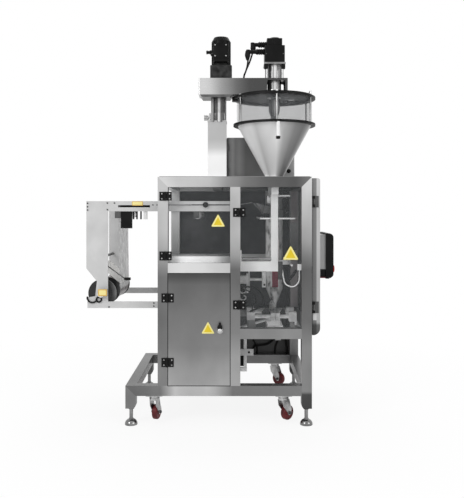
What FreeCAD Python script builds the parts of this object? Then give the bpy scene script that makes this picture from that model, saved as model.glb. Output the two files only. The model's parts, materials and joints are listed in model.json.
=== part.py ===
import FreeCAD, Part
import math
import os

# A vertical form, fill and seal machine for powder sachets: a welded frame of square tube with a
# steel cabinet, a film rack at its rear, forming and sealing gear in the right bay, and an auger
# filler on a column above the deck. Millimetres, +Z up, +X towards the operator's panel, and the
# long side with the cabinet door faces -Y. The origin is on the floor, under the middle.

# Driving dimensions of the frame
tube_size = 55.0
tube_wall = 2.5
left_bay = 335.0
right_bay = 330.0
frame_depth = 810.0
top_height = 1340.0
base_underside = 160.0
leg_underside = 114.0
outrigger = 174.0
left_sill = 820.0
right_sill = 467.0

# How far the rack, the operator's panel and the cabinet lock reach beyond the frame
rack_reach = 401.0
lock_reach = 20.0

# Sheets, panes, doors and gaps
sheet = 1.5
deck_thickness = 3.0
deck_inset = 8.0
pane = 6.0
door_gap = 1.5
face_gap = 0.3
running = 0.05
door_return = 20.0
sheet_inset = 1.0
deck_hole_gap = 7.0
divider_inset = 12.0
lock_inset = 55.0
lock_z = 512.0
lock_stem_radius = 6.0
lock_knob_radius = 11.0
lock_knob_length = 12.0
lock_lever_width = 12.0
lock_lever_rise = 46.0
lock_lever_drop = 8.0
lock_lever_round = 5.0
lock_cam_width = 18.0
lock_cam_thickness = 4.0
lock_cam_gap = 1.0
catch_reach = 14.0
catch_height = 40.0

# Hinges on the long side
hinge_height = 48.0
hinge_leaf = 4.0
hinge_fixed_width = 30.0
hinge_moving_width = 36.0
hinge_pin_radius = 3.0
hinge_knuckle_radius = 6.0
hinge_pin_offset = 7.0
knuckle_play = 0.3
hinge_leaf_gap = 0.5
hinge_tab_inset = 1.0
left_window_pin_inset = 16.0
right_window_pin_inset = 10.0
cabinet_pin_inset = 5.0
left_window_hinge_rise = 15.0
left_window_hinge_drop = 26.0
right_window_hinge_rise = 105.0
right_window_hinge_drop = 113.0
cabinet_hinge_rise = 102.0
cabinet_hinge_drop = 108.0

# Feet and casters
foot_pad_radius = 34.0
foot_pad_rim = 6.0
foot_pad_height = 34.0
foot_neck_height = 4.0
foot_neck_radius = 13.0
foot_stem_radius = 10.0
foot_stem_top = 130.0
foot_hole_depth = 40.0
end_cap_thickness = 22.0
end_cap_round = 19.0
jam_nut_width = 32.0
jam_nut_height = 8.0
wheel_radius = 40.0
wheel_width = 28.0
wheel_bore = 6.0
wheel_round = 6.0
wheel_hub_radius = 14.0
wheel_hub_gap = 0.5
axle_end = 4.0
wheel_clearance = 20.0
fork_plate = 3.0
fork_gap = 2.0
fork_head_lip = 3.0
fork_half_top = 26.0
fork_knee = 16.0
fork_knee_rise = 20.0
fork_tip_radius = 13.0
fork_heel = 20.0
fork_heel_drop = 34.0
caster_trail = 30.0
caster_plate_length = 90.0
caster_plate_thickness = 4.0
caster_plate_margin = 1.0
caster_cup_radius = 25.0
caster_cup_height = 10.0
caster_stem_radius = 10.0
caster_head_height = 8.0
caster_rear_offset = 20.0
caster_front_offset = 96.0
caster_turns = {"front_near": 45.0, "front_far": -35.0, "rear_near": 75.0, "rear_far": 15.0}

# Front safety door and operator's panel, on the +X face
guard_gap = 4.0
guard_depth = 42.0
guard_wall = 3.0
guard_bottom = 485.0
guard_top = 1333.0
guard_edge = 14.0
guard_low_round = 38.0
guard_top_round = 12.0
guard_hinge_low = 120.0
guard_hinge_high = 690.0
guard_hinge_height = 62.0
guard_pin_x = 13.0
guard_pin_y = 6.0
guard_knuckle_radius = 5.0
guard_pin_radius = 2.5
guard_leaf = 3.0
guard_leaf_width = 35.0
guard_arm_width = 6.0
guard_moving_width = 25.0
guard_moving_leaf_thickness = 2.5
panel_width = 300.0
panel_start = 150.0
panel_bottom = 780.0
panel_height = 250.0
panel_back_depth = 50.0
bezel_depth = 43.0
panel_back_inset = 8.0
panel_trim = 4.0
screen_sink = 2.0
bezel_round = 24.0
screen_width = 200.0
screen_height = 130.0
screen_thickness = 3.0
screen_rise = 95.0
stop_button_radius = 20.0
stop_stem_radius = 9.0
stop_head_height = 12.0
stop_head_round = 4.0
button_depth = 20.0
button_stem = 15.0
button_clearance = 1.0
stop_button_share = 0.3
stop_button_travel = 4.0
start_button_radius = 11.0
start_button_travel = 3.0
button_drop = 45.0
button_hole_gap = 1.0

# Column, lift and arm
column_offset = 311.0
column_size = 110.0
column_wall = 4.0
column_height = 340.0
column_cap = 8.0
column_foot_size = 170.0
column_foot_thickness = 10.0
column_foot_round = 10.0
column_cap_lip = 2.0
collar_round = 8.0
collar_slot = 3.0
lift_tube_radius = 24.0
lift_tube_offset = 16.0
guide_rod_radius = 11.0
guide_rod_offset = -27.0
lift_insert = 300.0
collar_length = 98.0
collar_width = 60.0
collar_height = 46.0
clamp_screw_radius = 5.0
clamp_knob_radius = 17.0
clamp_knob_length = 26.0
clamp_lobes = 6
clamp_lobe_radius = 5.0
clamp_lobe_length = 18.0
clamp_gap = 4.0
clamp_play = 0.5
lift_tube_wall = 4.0
arm_left = 202.0
arm_right = 728.0
arm_half_depth = 70.0
arm_rise = 4.0
arm_height = 97.0
arm_wall = 3.0
arm_plate = 15.0
arm_plate_slant = 12.0
arm_round = 6.0
arm_hole_gap = 4.0
arm_plate_left = 211.0
arm_plate_right = 400.0
access_left = 606.0
access_right = 713.0
access_low = 14.0
access_high = 85.0
access_round = 8.0

# Gear motor and servo motor
gear_motor_offset = 334.0
gearbox_size = 129.0
gearbox_height = 77.0
motor_radius = 55.0
motor_height = 150.0
motor_cowl_height = 25.0
gearbox_round = 14.0
motor_flange = 10.0
motor_flange_lip = 7.0
cowl_lip = 2.0
cowl_taper = 12.0
motor_fins = 12
fin_height = 4.0
fin_width = 3.0
gland_length = 18.0
gland_radius = 9.0
terminal_box_round = 6.0
sprocket_rise = 22.0
sprocket_lap = 2.0
sprocket_thickness = 12.0
drive_sprocket_radius = 40.0
agitator_sprocket_radius = 48.0
terminal_box_width = 84.0
terminal_box_depth = 28.0
terminal_box_low = 95.0
terminal_box_high = 180.0
gear_shaft_radius = 12.0
servo_size = 120.0
servo_height = 101.0
encoder_size = 91.0
encoder_height = 45.0
servo_flange = 10.0
servo_rise = 95.0
servo_round = 8.0
servo_flange_lip = 4.0
connector_radius = 12.0
connector_spread = 16.0
connector_reach = 84.0
connector_step = 28.0
connector_inset = 30.0
connector_drop = 14.0
pillar_radius = 7.0
pillar_spread = 46.0
coupling_radius = 22.0

# Filler: hopper, auger and agitator, all on one axis
filler_offset = 652.0
neck_rise = 18.0
neck_radius = 54.0
neck_flange = 10.0
neck_flange_radius = 66.0
cone_height = 301.0
cone_top_radius = 218.0
cone_wall = 2.0
ring_radius = 245.0
ring_bore = 212.0
ring_thickness = 12.0
drum_radius = 225.0
drum_wall = 5.0
drum_height = 146.0
lid_radius = 232.0
lid_thickness = 7.0
lid_hub_radius = 56.0
tie_rod_radius = 5.0
tie_rod_circle = 235.0
tie_rods = 6
feed_port_radius = 50.0
feed_port_wall = 3.0
feed_port_height = 8.0
feed_port_offset = 112.0
auger_tube_radius = 38.0
auger_tube_wall = 3.0
auger_tube_bottom = 760.0
auger_shaft_radius = 12.0
auger_flight_radius = 33.0
auger_flight_thickness = 2.5
auger_pitch = 70.0
auger_turns = 9.0
auger_end_gap = 4.0
auger_lap = 1.0
coupling_drop = 30.0
coupling_top_gap = 20.0
sleeve_wall = 6.0
agitator_reach = 188.0
agitator_blade = 10.0
agitator_drop = 120.0
agitator_hub_radius = 34.0
agitator_hub_height = 60.0
agitator_rest_turn = 35.0
scraper_width = 14.0
scraper_gap = 32.0
handle_radius = 12.0
handle_length = 95.0
handle_offset = 8.0

# Control gear on the backplate in the cabinet
backplate_side = 20.0
backplate_end = 60.0
backplate_standoff = 20.0
backplate_thickness = 2.0
standoff_radius = 5.0
duct_height = 35.0
duct_depth = 40.0
controller_width = 130.0
controller_height = 85.0
controller_depth = 70.0
supply_width = 75.0
supply_depth = 90.0
relays = 5
relay_pitch = 45.0
relay_width = 38.0
relay_height = 70.0
relay_depth = 60.0
relay_low = 75.0
drive_width = 90.0
drive_height = 96.0
drive_depth = 110.0

# Rear control box on the deck
box_left = 367.0
box_right = 792.0
box_rear_gap = 19.0
box_depth = 185.0
box_height = 275.0
box_round = 6.0
box_door = 3.0
box_door_inset = 14.0

# Film rack, rollers and roll
rack_near = 75.0
rack_thickness = 8.0
rack_plate_width = 119.0
rack_drop = 130.0
rack_bottom = 622.0
rack_slant_top = 840.0
rack_slant_bottom = 769.0
rack_waist = 343.0
rack_notch = 352.0
rack_notch_top = 687.0
rack_foot_inset = 6.0
rack_foot_top = 680.0
rail_height = 56.0
rail_overlap = 42.0
rear_slot_inset = 55.0
rear_slot_length = 176.0
front_slot_inset = 15.0
front_slot_length = 305.0
boss_inset = 22.0
boss_drop = 46.0
bar_height = 36.0
bar_end = 40.0
slot_play = 0.5
boss_radius = 12.0
slot_height = 12.0
roller_shaft_radius = 8.0
roller_radius = 22.0
roller_length = 420.0
roller_wall = 3.0
roller_end = 14.0
tube_lap = 1.0
roller_a_offset = -230.0
roller_b_offset = 204.0
roller_drop = 78.0
cross_rod_radius = 8.0
cross_rod_inset = 25.0
cross_rod_rise = 40.0
hanger_width = 32.0
hanger_thickness = 6.0
roll_offset = -316.0
roll_height = 702.0
roll_radius = 69.0
roll_core_radius = 38.0
roll_core_wall = 4.0
roll_shaft_radius = 12.0
roll_flange_radius = 74.0
roll_flange_thickness = 8.0
roll_knob_radius = 18.0
roll_knob_length = 16.0
roll_shaft_reach = 14.0
roll_plug_length = 26.0
brake_gap = 2.0
brake_hub_radius = 52.0
brake_hub_thickness = 6.0
brake_disc_radius = 78.0
brake_disc_thickness = 8.0
fitting_lap = 12.0
fitting_depth = 22.0
sensor_offset = -213.0
sensor_width = 61.0
sensor_drop = 94.0
post_offsets = (-147.0, -128.0, -106.0)
post_width = 8.0
post_drop = 44.0
terminal_offset = -88.0
terminal_width = 19.0
film_width = 330.0
film = 0.6
film_gap = 0.4
web_edge_gap = 6.0
web_edge_rise = 4.0
film_tube_drop = 2.0

# Forming and sealing
forming_radius = 50.0
forming_wall = 1.5
forming_bottom = 700.0
forming_drop = 96.0
collar_drop = 230.0
collar_shoulder_radius = 128.0
collar_shoulder_height = 84.0
collar_wall = 3.0
collar_rake_margin = 26.0
collar_rake_left = 97.0
collar_rake_right = 13.0
support_bar_width = 39.0
support_bar_thickness = 10.0
support_bar_near = 95.0
support_bar_offset = 2.0
collar_plate_left = 60.0
collar_plate_right = 98.0
upper_plate_right = 70.0
support_rail_drop = 32.0
support_rail_height = 55.0
bracket_thickness = 8.0
film_tube_clearance = 0.5
pinch_top = 566.0
pinch_bottom = 500.0
pinch_thickness = 1.0
pinch_steps = 5
belt_width = 36.0
belt_thickness = 4.0
pulley_radius = 18.0
belt_foot = 28.0
belt_drop = 130.0
belt_guide_radius = 6.0
belt_guide_spread = 80.0
belt_block = 26.0
belt_plate = 4.0
belt_plate_margin = 2.0
belt_guide_half = 12.0
jaw_rod_radius = 11.0
jaw_rod_spread = 95.0
jaw_rod_height = 539.0
end_block_length = 44.0
end_block_width = 50.0
end_block_height = 54.0
left_block_offset = 488.0
jaw_thickness = 26.0
jaw_length = 240.0
jaw_height = 44.0
jaw_face = 0.8
jaw_round = 4.0
jaw_groove = 3.0
jaw_bracket_height = 40.0
jaw_pad = 10.0
push_rod_radius = 8.0
push_rod_drop = 63.0
crank_offset = 300.0
crank_arm = 90.0
crank_pin_radius = 8.0
crank_disc_radius = 30.0
crank_shaft_radius = 15.0
crank_shaft_length = 90.0
crank_plate = 12.0
crank_foot_width = 32.0
crank_head_width = 24.0
crank_tip_radius = 14.0
push_rod_fall = 60.0
yoke_length = 60.0
yoke_width = 40.0
yoke_thickness = 16.0
yoke_lap = 2.0
lug_width = 28.0
lug_reach = 22.0
lug_drop = 20.0
drive_box_width = 120.0
drive_box_depth = 110.0
drive_box_rise = 50.0
drive_box_round = 10.0
sealer_height = 745.0
sealer_length = 91.0
sealer_depth = 22.0
sealer_width = 40.0
sealer_rod_radius = 8.0
sealer_travel = 20.0
cylinder_length = 52.0
cylinder_size = 49.0
cylinder_round = 6.0
cylinder_end = 4.0
front_plate = 12.0
front_plate_width = 60.0
front_plate_drop = 77.0
front_plate_rise = 36.0
valve_blocks = 2
valve_length = 48.0
valve_width = 52.0
valve_height = 40.0
valve_pitch = 44.0
valve_drop = 70.0
valve_round = 5.0
chute_length = 92.0
chute_width = 180.0
chute_top = 484.0
chute_height = 34.0
chute_wall = 3.0
chute_bar_width = 30.0
chute_bar_height = 20.0
cable_radius = 5.0
cable_foot_offset = 470.0
cable_spread = 18.0
lead_radius = 4.0
panel_cable_radius = 6.0
hose_radius = 3.5
hose_fitting_size = 20.0
hose_fitting_height = 33.0
hose_fitting_low = 835.0

# Stay beside the base's cross beam in the lower opening
stay_foot_length = 43.0
stay_foot_height = 24.0
stay_foot_low = 195.0
stay_inset = 24.0
stay_size = 18.0
stay_top = 420.0
stay_plate_length = 83.0
stay_plate_low = 291.0
stay_plate_height = 39.0
stay_plate_thickness = 4.0
stay_hole_inset = 28.0
stay_hole_radius = 7.0
stay_box_low = 227.0
stay_box_height = 61.0

# Places worked out from the driving dimensions
frame_width = 3 * tube_size + left_bay + right_bay
front_reach = guard_gap + guard_depth + panel_back_depth + bezel_depth
x_left = rack_reach - (rack_reach + frame_width + front_reach) / 2
x_mid = x_left + tube_size + left_bay
x_right = x_mid + tube_size + right_bay
x_end = x_left + frame_width
x_out = x_left - outrigger
y_near = (lock_reach - frame_depth) / 2
y_far = y_near + frame_depth
y_mid = (y_near + y_far) / 2
y_in_near = y_near + tube_size
y_in_far = y_far - tube_size
top_underside = top_height - tube_size
base_top = base_underside + tube_size
left_shelf = left_sill + tube_size
right_shelf = right_sill + tube_size
deck_top = top_height + deck_thickness
column_x = x_left + column_offset
column_top = deck_top + column_height
filler_x = x_left + filler_offset
neck_height = deck_top + neck_rise
cone_top = neck_height + cone_height
lid_underside = cone_top + 2 * ring_thickness + drum_height
lid_top = lid_underside + lid_thickness
arm_underside = lid_top + arm_rise
arm_top = arm_underside + arm_height
rack_top = top_height - rack_drop
roller_height = rack_top - roller_drop
collar_plate_height = top_height - collar_drop
forming_top = top_height - forming_drop
belt_low = forming_bottom + belt_foot
belt_high = collar_plate_height - belt_drop
belt_middle = (belt_low + belt_high) / 2
support_low = belt_middle - support_rail_drop
servo_base = arm_top + servo_rise
foot_offset = tube_size / 2
rack_near_y = y_near + rack_near
rack_far_y = y_far - rack_near - rack_thickness
axle_height = wheel_clearance + wheel_radius
swivel_top = base_underside - caster_plate_thickness - caster_cup_height
far_sheet_y = y_far - sheet_inset - sheet
divider_x = x_mid + tube_size - divider_inset
roll_x = x_left + roll_offset
rail_y0 = rack_near_y + rack_thickness
rail_y1 = rack_far_y

X = FreeCAD.Vector(1, 0, 0)
Y = FreeCAD.Vector(0, 1, 0)
Z = FreeCAD.Vector(0, 0, 1)


def at(x, y, z):
    return FreeCAD.Vector(x, y, z)


def block(x0, x1, y0, y1, z0, z1):
    return Part.makeBox(x1 - x0, y1 - y0, z1 - z0, at(x0, y0, z0))


def rod(start, along, length, radius):
    return Part.makeCylinder(radius, length, start, along)


def pipe(start, along, length, outer, inner):
    return rod(start, along, length, outer).cut(rod(start, along, length, inner))


def join(pieces):
    return pieces[0].fuse(pieces[1:]).removeSplitter()


def outline(points, along):
    """A closed polygon of corner points, pushed along a vector."""
    return Part.Face(Part.makePolygon(points + points[:1])).extrude(along)


def round_edges(shape, radius, along, keep=lambda middle: True):
    """Round the straight edges that run along a direction and pass a test of their middle."""
    chosen = []
    for edge in shape.Edges:
        ends = edge.Vertexes
        if len(ends) != 2:
            continue
        run = ends[1].Point - ends[0].Point
        if run.Length > 0 and abs(abs(run.normalize().dot(along)) - 1) < 1e-6:
            if keep(edge.CenterOfMass):
                chosen.append(edge)
    return shape.makeFillet(radius, chosen)


def square_tube(x0, x1, y0, y1, z0, z1, along):
    """A hollow square tube, open at the two ends that lie along the named axis."""
    w = tube_wall
    grow_x = 0 if along == "x" else w
    grow_y = 0 if along == "y" else w
    grow_z = 0 if along == "z" else w
    hollow = block(x0 + grow_x, x1 - grow_x, y0 + grow_y, y1 - grow_y, z0 + grow_z, z1 - grow_z)
    return block(x0, x1, y0, y1, z0, z1).cut(hollow)


def corner_wedge(outer_x, outer_z, inner_x, inner_z, upright, y0, y1):
    """What a mitre takes off an upright or a beam at a corner of the frame."""
    third = (inner_x, outer_z) if upright else (outer_x, inner_z)
    points = [at(outer_x, y0, outer_z), at(inner_x, y0, inner_z), at(third[0], y0, third[1])]
    return outline(points, Y * (y1 - y0))


def save(node, pieces):
    solids = []
    for piece in pieces:
        solids.extend(piece.Solids)
    shape = solids[0] if len(solids) == 1 else Part.makeCompound(solids)
    shape.exportStep("parts/" + node + ".step")


# Frame


def frame_posts():
    """Near and far rows of three posts, and the two outrigger legs, mitred at the corners."""
    pieces = []
    for y0 in (y_near, y_in_far):
        y1 = y0 + tube_size
        left = square_tube(x_left, x_left + tube_size, y0, y1, base_top, top_height, "z")
        left = left.cut(
            corner_wedge(x_left, top_height, x_left + tube_size, top_underside, True, y0, y1)
        )
        middle = square_tube(x_mid, x_mid + tube_size, y0, y1, base_top, top_underside, "z")
        right = square_tube(x_right, x_end, y0, y1, leg_underside, top_height, "z")
        right = right.cut(corner_wedge(x_end, top_height, x_right, top_underside, True, y0, y1))
        leg = square_tube(x_out, x_out + tube_size, y0, y1, leg_underside, base_top, "z")
        leg = leg.cut(
            corner_wedge(x_out, base_top, x_out + tube_size, base_underside, True, y0, y1)
        )
        pieces += [left, middle, right, leg]
    return pieces


def frame_beams():
    """Top, middle and base beams of both long sides, and the cross beams between the sides."""
    pieces = []
    for y0 in (y_near, y_in_far):
        y1 = y0 + tube_size
        top = square_tube(x_left, x_end, y0, y1, top_underside, top_height, "x")
        top = top.cut(
            corner_wedge(x_left, top_height, x_left + tube_size, top_underside, False, y0, y1)
        )
        top = top.cut(corner_wedge(x_end, top_height, x_right, top_underside, False, y0, y1))
        base = square_tube(x_out, x_right, y0, y1, base_underside, base_top, "x")
        base = base.cut(
            corner_wedge(x_out, base_top, x_out + tube_size, base_underside, False, y0, y1)
        )
        left = square_tube(x_left + tube_size, x_mid, y0, y1, left_sill, left_shelf, "x")
        right = square_tube(x_mid + tube_size, x_right, y0, y1, right_sill, right_shelf, "x")
        pieces += [top, base, left, right]
    cross = [
        (x_left, top_underside),
        (column_x - tube_size / 2, top_underside),
        (x_right, top_underside),
        (x_left, left_sill),
        (x_right, right_sill),
        (x_out, base_underside),
        (x_left, base_underside),
        (x_mid, base_underside),
        (x_right, base_underside),
    ]
    for x0, z0 in cross:
        pieces.append(square_tube(x0, x0 + tube_size, y_in_near, y_in_far, z0, z0 + tube_size, "y"))
    return pieces


def steel_panels():
    """Deck with the auger hole, cabinet side, far panels, floor, shelf, bay divider and catch."""
    x0 = x_left + tube_size
    deck = block(
        x_left + deck_inset, x_end - deck_inset,
        y_near + deck_inset, y_far - deck_inset, top_height, deck_top,
    )
    hole = rod(at(filler_x, y_mid, top_height), Z, deck_thickness, auger_tube_radius + deck_hole_gap)
    side_x = x_left + sheet_inset
    side = block(side_x, side_x + sheet, y_in_near, y_in_far, base_top, left_sill)
    for y in (rack_near_y, rack_far_y):
        side = side.cut(
            block(
                x_left, x_left + tube_size, y - slot_play, y + rack_thickness + slot_play,
                rack_bottom - slot_play, rack_bottom + bar_height + slot_play,
            )
        )
    far = block(x0, x_mid, far_sheet_y, far_sheet_y + sheet, base_top, left_sill)
    far_low = block(
        x_mid + tube_size, x_right, far_sheet_y, far_sheet_y + sheet, base_top, right_sill
    )
    floor = block(x0, x_mid, y_in_near, y_in_far, base_top - sheet, base_top)
    shelf = block(x0, x_mid, y_in_near, y_in_far, left_shelf - sheet, left_shelf)
    divider = block(divider_x - sheet, divider_x, y_in_near, y_in_far, right_shelf, left_shelf)
    catch = block(
        x_mid - catch_reach, x_mid, catch_y, catch_y + sheet,
        lock_z - catch_height / 2, lock_z + catch_height / 2,
    )
    return [deck.cut(hole), side, far, far_low, floor, shelf, divider, catch]


def far_windows():
    y0 = y_far - pane
    left = block(x_left + tube_size, x_mid, y0, y_far, left_shelf, top_underside)
    right = block(x_mid + tube_size, x_right, y0, y_far, right_shelf, top_underside)
    return [left, right]


# Hinges of the long side


def hinge_pin_x(door_left, inset):
    """The pins of a door stand over its post, a little left of the door's hinged edge."""
    return door_left + door_gap / 2 - inset


def knuckle_tab(pin_x, reach, low, tall):
    """The strip that ties a knuckle to its leaf, on the leaf's outer side."""
    x0, x1 = sorted((pin_x, pin_x + reach))
    return block(x0, x1, y_near - hinge_leaf, y_near - hinge_tab_inset, low, low + tall)


def fixed_leaf(pin_x, z0):
    """The post's leaf: a plate, the outer knuckles and the pin through the middle one."""
    y_pin = y_near - hinge_pin_offset
    third = hinge_height / 4
    reach = hinge_knuckle_radius + hinge_leaf_gap
    plate = block(
        pin_x - hinge_fixed_width, pin_x - reach,
        y_near - hinge_leaf, y_near, z0, z0 + hinge_height,
    )
    parts = [plate]
    for low in (z0, z0 + hinge_height - third):
        parts.append(knuckle_tab(pin_x, -reach - hinge_leaf_gap, low, third))
        parts.append(rod(at(pin_x, y_pin, low), Z, third, hinge_knuckle_radius))
    parts.append(rod(at(pin_x, y_pin, z0), Z, hinge_height, hinge_pin_radius))
    return join(parts)


def moving_leaf(pin_x, door_left, z0):
    """The door's leaf: a plate that clears the post, and the middle knuckle, bored for the pin."""
    y_pin = y_near - hinge_pin_offset
    third = hinge_height / 4
    reach = hinge_knuckle_radius + hinge_leaf_gap
    low = z0 + third + knuckle_play
    tall = hinge_height - 2 * third - 2 * knuckle_play
    plate = block(
        pin_x + reach, pin_x + hinge_moving_width,
        y_near - hinge_leaf, y_near, z0, z0 + hinge_height,
    )
    relief = block(pin_x, door_left + door_gap, y_near - face_gap, y_near, z0, z0 + hinge_height)
    tab = knuckle_tab(pin_x, reach + hinge_leaf_gap, low, tall)
    knuckle = rod(at(pin_x, y_pin, low), Z, tall, hinge_knuckle_radius)
    bore = rod(at(pin_x, y_pin, z0), Z, hinge_height, hinge_pin_radius + running)
    return join([plate.cut(relief), tab, knuckle]).cut(bore)


left_window_pin_x = hinge_pin_x(x_left + tube_size, left_window_pin_inset)
right_window_pin_x = hinge_pin_x(x_mid + tube_size, right_window_pin_inset)
cabinet_pin_x = hinge_pin_x(x_left + tube_size, cabinet_pin_inset)
left_window_hinges = [
    left_shelf + left_window_hinge_rise, top_underside - left_window_hinge_drop - hinge_height
]
right_window_hinges = [
    right_shelf + right_window_hinge_rise, top_underside - right_window_hinge_drop - hinge_height
]
cabinet_hinges = [base_top + cabinet_hinge_rise, left_sill - cabinet_hinge_drop - hinge_height]


def door_leaves(pin_x, door_left, heights):
    return [moving_leaf(pin_x, door_left, z0) for z0 in heights]


def fixed_hinge_leaves():
    pieces = []
    for pin_x, heights in (
        (left_window_pin_x, left_window_hinges),
        (cabinet_pin_x, cabinet_hinges),
        (right_window_pin_x, right_window_hinges),
    ):
        for z0 in heights:
            pieces.append(fixed_leaf(pin_x, z0))
    for z0 in (guard_bottom + guard_hinge_low, guard_bottom + guard_hinge_high):
        pieces.append(guard_fixed_leaf(z0))
    return pieces


# Doors of the long side


def left_window():
    clear = block(
        x_left + tube_size + door_gap, x_mid - door_gap,
        y_near, y_near + pane, left_shelf + door_gap, top_underside - door_gap,
    )
    return [clear] + door_leaves(left_window_pin_x, x_left + tube_size, left_window_hinges)


def right_window():
    clear = block(
        x_mid + tube_size + door_gap, x_right - door_gap,
        y_near, y_near + pane, right_shelf + door_gap, top_underside - door_gap,
    )
    return [clear] + door_leaves(right_window_pin_x, x_mid + tube_size, right_window_hinges)


lock_x = x_mid - lock_inset
catch_y = y_near + door_return + lock_cam_gap


def cabinet_door():
    """A folded steel pan with a return flange all round and a hole for the lock's stem."""
    x0 = x_left + tube_size + door_gap
    x1 = x_mid - door_gap
    z0 = base_top + door_gap
    z1 = left_sill - door_gap
    pan = block(x0, x1, y_near, y_near + door_return, z0, z1)
    hollow = block(
        x0 + sheet, x1 - sheet, y_near + sheet, y_near + door_return, z0 + sheet, z1 - sheet
    )
    hole = rod(at(lock_x, y_near, lock_z), Y, sheet, lock_stem_radius + running)
    leaves = door_leaves(cabinet_pin_x, x_left + tube_size, cabinet_hinges)
    return [pan.cut(hollow).cut(hole)] + leaves


def cabinet_lock():
    """A quarter-turn lock: knob and lever outside, stem through the door, cam behind it."""
    knob_y = y_near - lock_knob_length
    knob = rod(at(lock_x, knob_y, lock_z), Y, lock_knob_length - face_gap, lock_knob_radius)
    half = lock_lever_width / 2
    lever = block(
        lock_x - half, lock_x + half, y_near - lock_reach, knob_y,
        lock_z - lock_lever_drop, lock_z + lock_lever_rise,
    )
    lever = round_edges(lever, lock_lever_round, Y)
    cam_y = catch_y + sheet + lock_cam_gap
    cam_end = cam_y + lock_cam_thickness
    stem = rod(at(lock_x, knob_y, lock_z), Y, cam_end - knob_y, lock_stem_radius)
    half_cam = lock_cam_width / 2
    cam = block(
        lock_x - half_cam, lock_x + half_cam, cam_y, cam_end,
        lock_z - half_cam, lock_z + lock_inset - 2 * door_gap,
    )
    return [join([knob, lever, stem, cam])]


# Feet and casters

feet = {
    "front_near": (x_end - foot_offset, y_near + foot_offset),
    "front_far": (x_end - foot_offset, y_far - foot_offset),
    "rear_near": (x_out + foot_offset, y_near + foot_offset),
    "rear_far": (x_out + foot_offset, y_far - foot_offset),
}
casters = {
    "front_near": (x_right - caster_front_offset, y_near + foot_offset),
    "front_far": (x_right - caster_front_offset, y_far - foot_offset),
    "rear_near": (x_left - caster_rear_offset, y_near + foot_offset),
    "rear_far": (x_left - caster_rear_offset, y_far - foot_offset),
}


def levelling_foot(x, y):
    """A domed pad turned with its threaded stem, which screws up into the leg's end cap."""
    r = foot_pad_radius
    neck = foot_neck_radius
    shoulder = foot_pad_height - foot_neck_height
    bulge = Part.Arc(at(r, 0, foot_pad_rim), at(r * 0.8, 0, shoulder * 0.72), at(neck, 0, shoulder))
    edges = [
        Part.makeLine(at(0, 0, 0), at(r, 0, 0)),
        Part.makeLine(at(r, 0, 0), at(r, 0, foot_pad_rim)),
        bulge.toShape(),
        Part.makeLine(at(neck, 0, shoulder), at(neck, 0, foot_pad_height)),
        Part.makeLine(at(neck, 0, foot_pad_height), at(foot_stem_radius, 0, foot_pad_height)),
        Part.makeLine(
            at(foot_stem_radius, 0, foot_pad_height), at(foot_stem_radius, 0, foot_stem_top)
        ),
        Part.makeLine(at(foot_stem_radius, 0, foot_stem_top), at(0, 0, foot_stem_top)),
        Part.makeLine(at(0, 0, foot_stem_top), at(0, 0, 0)),
    ]
    foot = Part.Face(Part.Wire(edges)).revolve(at(0, 0, 0), Z, 360)
    foot.translate(at(x, y, 0))
    return [foot]


def leg_fittings():
    """End caps with their threaded holes and jam nuts, and the casters' plates with cups."""
    pieces = []
    half = tube_size / 2
    low = leg_underside - end_cap_thickness
    for x, y in feet.values():
        cap = block(x - half, x + half, y - half, y + half, low, leg_underside)
        inner = -1 if x > 0 else 1
        cap = round_edges(cap, end_cap_round, Y, lambda m: (m.x - x) * inner > 0 and m.z < low + 1)
        nut = Part.makePolygon(
            [
                at(x + jam_nut_width / 2 * math.cos(math.radians(60 * i)),
                   y + jam_nut_width / 2 * math.sin(math.radians(60 * i)), low - jam_nut_height)
                for i in range(7)
            ]
        )
        nut = Part.Face(nut).extrude(Z * jam_nut_height)
        hole = rod(at(x, y, low - jam_nut_height), Z, foot_hole_depth, foot_stem_radius + running)
        pieces.append(join([cap, nut]).cut(hole))
    for x, y in casters.values():
        plate = block(
            x - caster_plate_length / 2, x + caster_plate_length / 2,
            y - half + caster_plate_margin, y + half - caster_plate_margin,
            base_underside - caster_plate_thickness, base_underside,
        )
        cup = rod(at(x, y, swivel_top), Z, caster_cup_height, caster_cup_radius)
        bore = rod(at(x, y, swivel_top), Z, caster_cup_height, caster_stem_radius + running)
        pieces.append(join([plate, cup]).cut(bore))
    return pieces


def turned(shape, x, y, angle):
    shape.rotate(at(0, 0, 0), Z, angle)
    shape.translate(at(x, y, 0))
    return shape


def caster_fork(x, y, angle):
    """Swivel head with its stem, two cheek plates that trail back, and the axle between them."""
    top = swivel_top - face_gap
    low = top - caster_head_height
    half = wheel_width / 2 + fork_gap
    outside = half + fork_plate
    stem_height = caster_head_height + caster_cup_height
    head = rod(at(0, 0, low), Z, caster_head_height, caster_cup_radius + fork_head_lip)
    stem = rod(at(0, 0, low), Z, stem_height - face_gap, caster_stem_radius)
    parts = [head, stem]
    for y0 in (-outside, half):
        cheek = outline(
            [
                at(-fork_half_top, y0, low),
                at(fork_half_top, y0, low),
                at(caster_trail + fork_knee, y0, axle_height + fork_knee_rise),
                at(caster_trail + fork_tip_radius, y0, axle_height),
                at(caster_trail - fork_tip_radius, y0, axle_height),
                at(-fork_heel, y0, low - fork_heel_drop),
            ],
            Y * fork_plate,
        )
        tip = rod(at(caster_trail, y0, axle_height), Y, fork_plate, fork_tip_radius)
        parts += [cheek, tip]
    bridge = block(-fork_half_top, fork_half_top, -outside, outside, low - fork_plate, low)
    reach = outside + axle_end
    axle = rod(at(caster_trail, -reach, axle_height), Y, 2 * reach, wheel_bore)
    return [turned(join(parts + [bridge, axle]), x, y, angle)]


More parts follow.
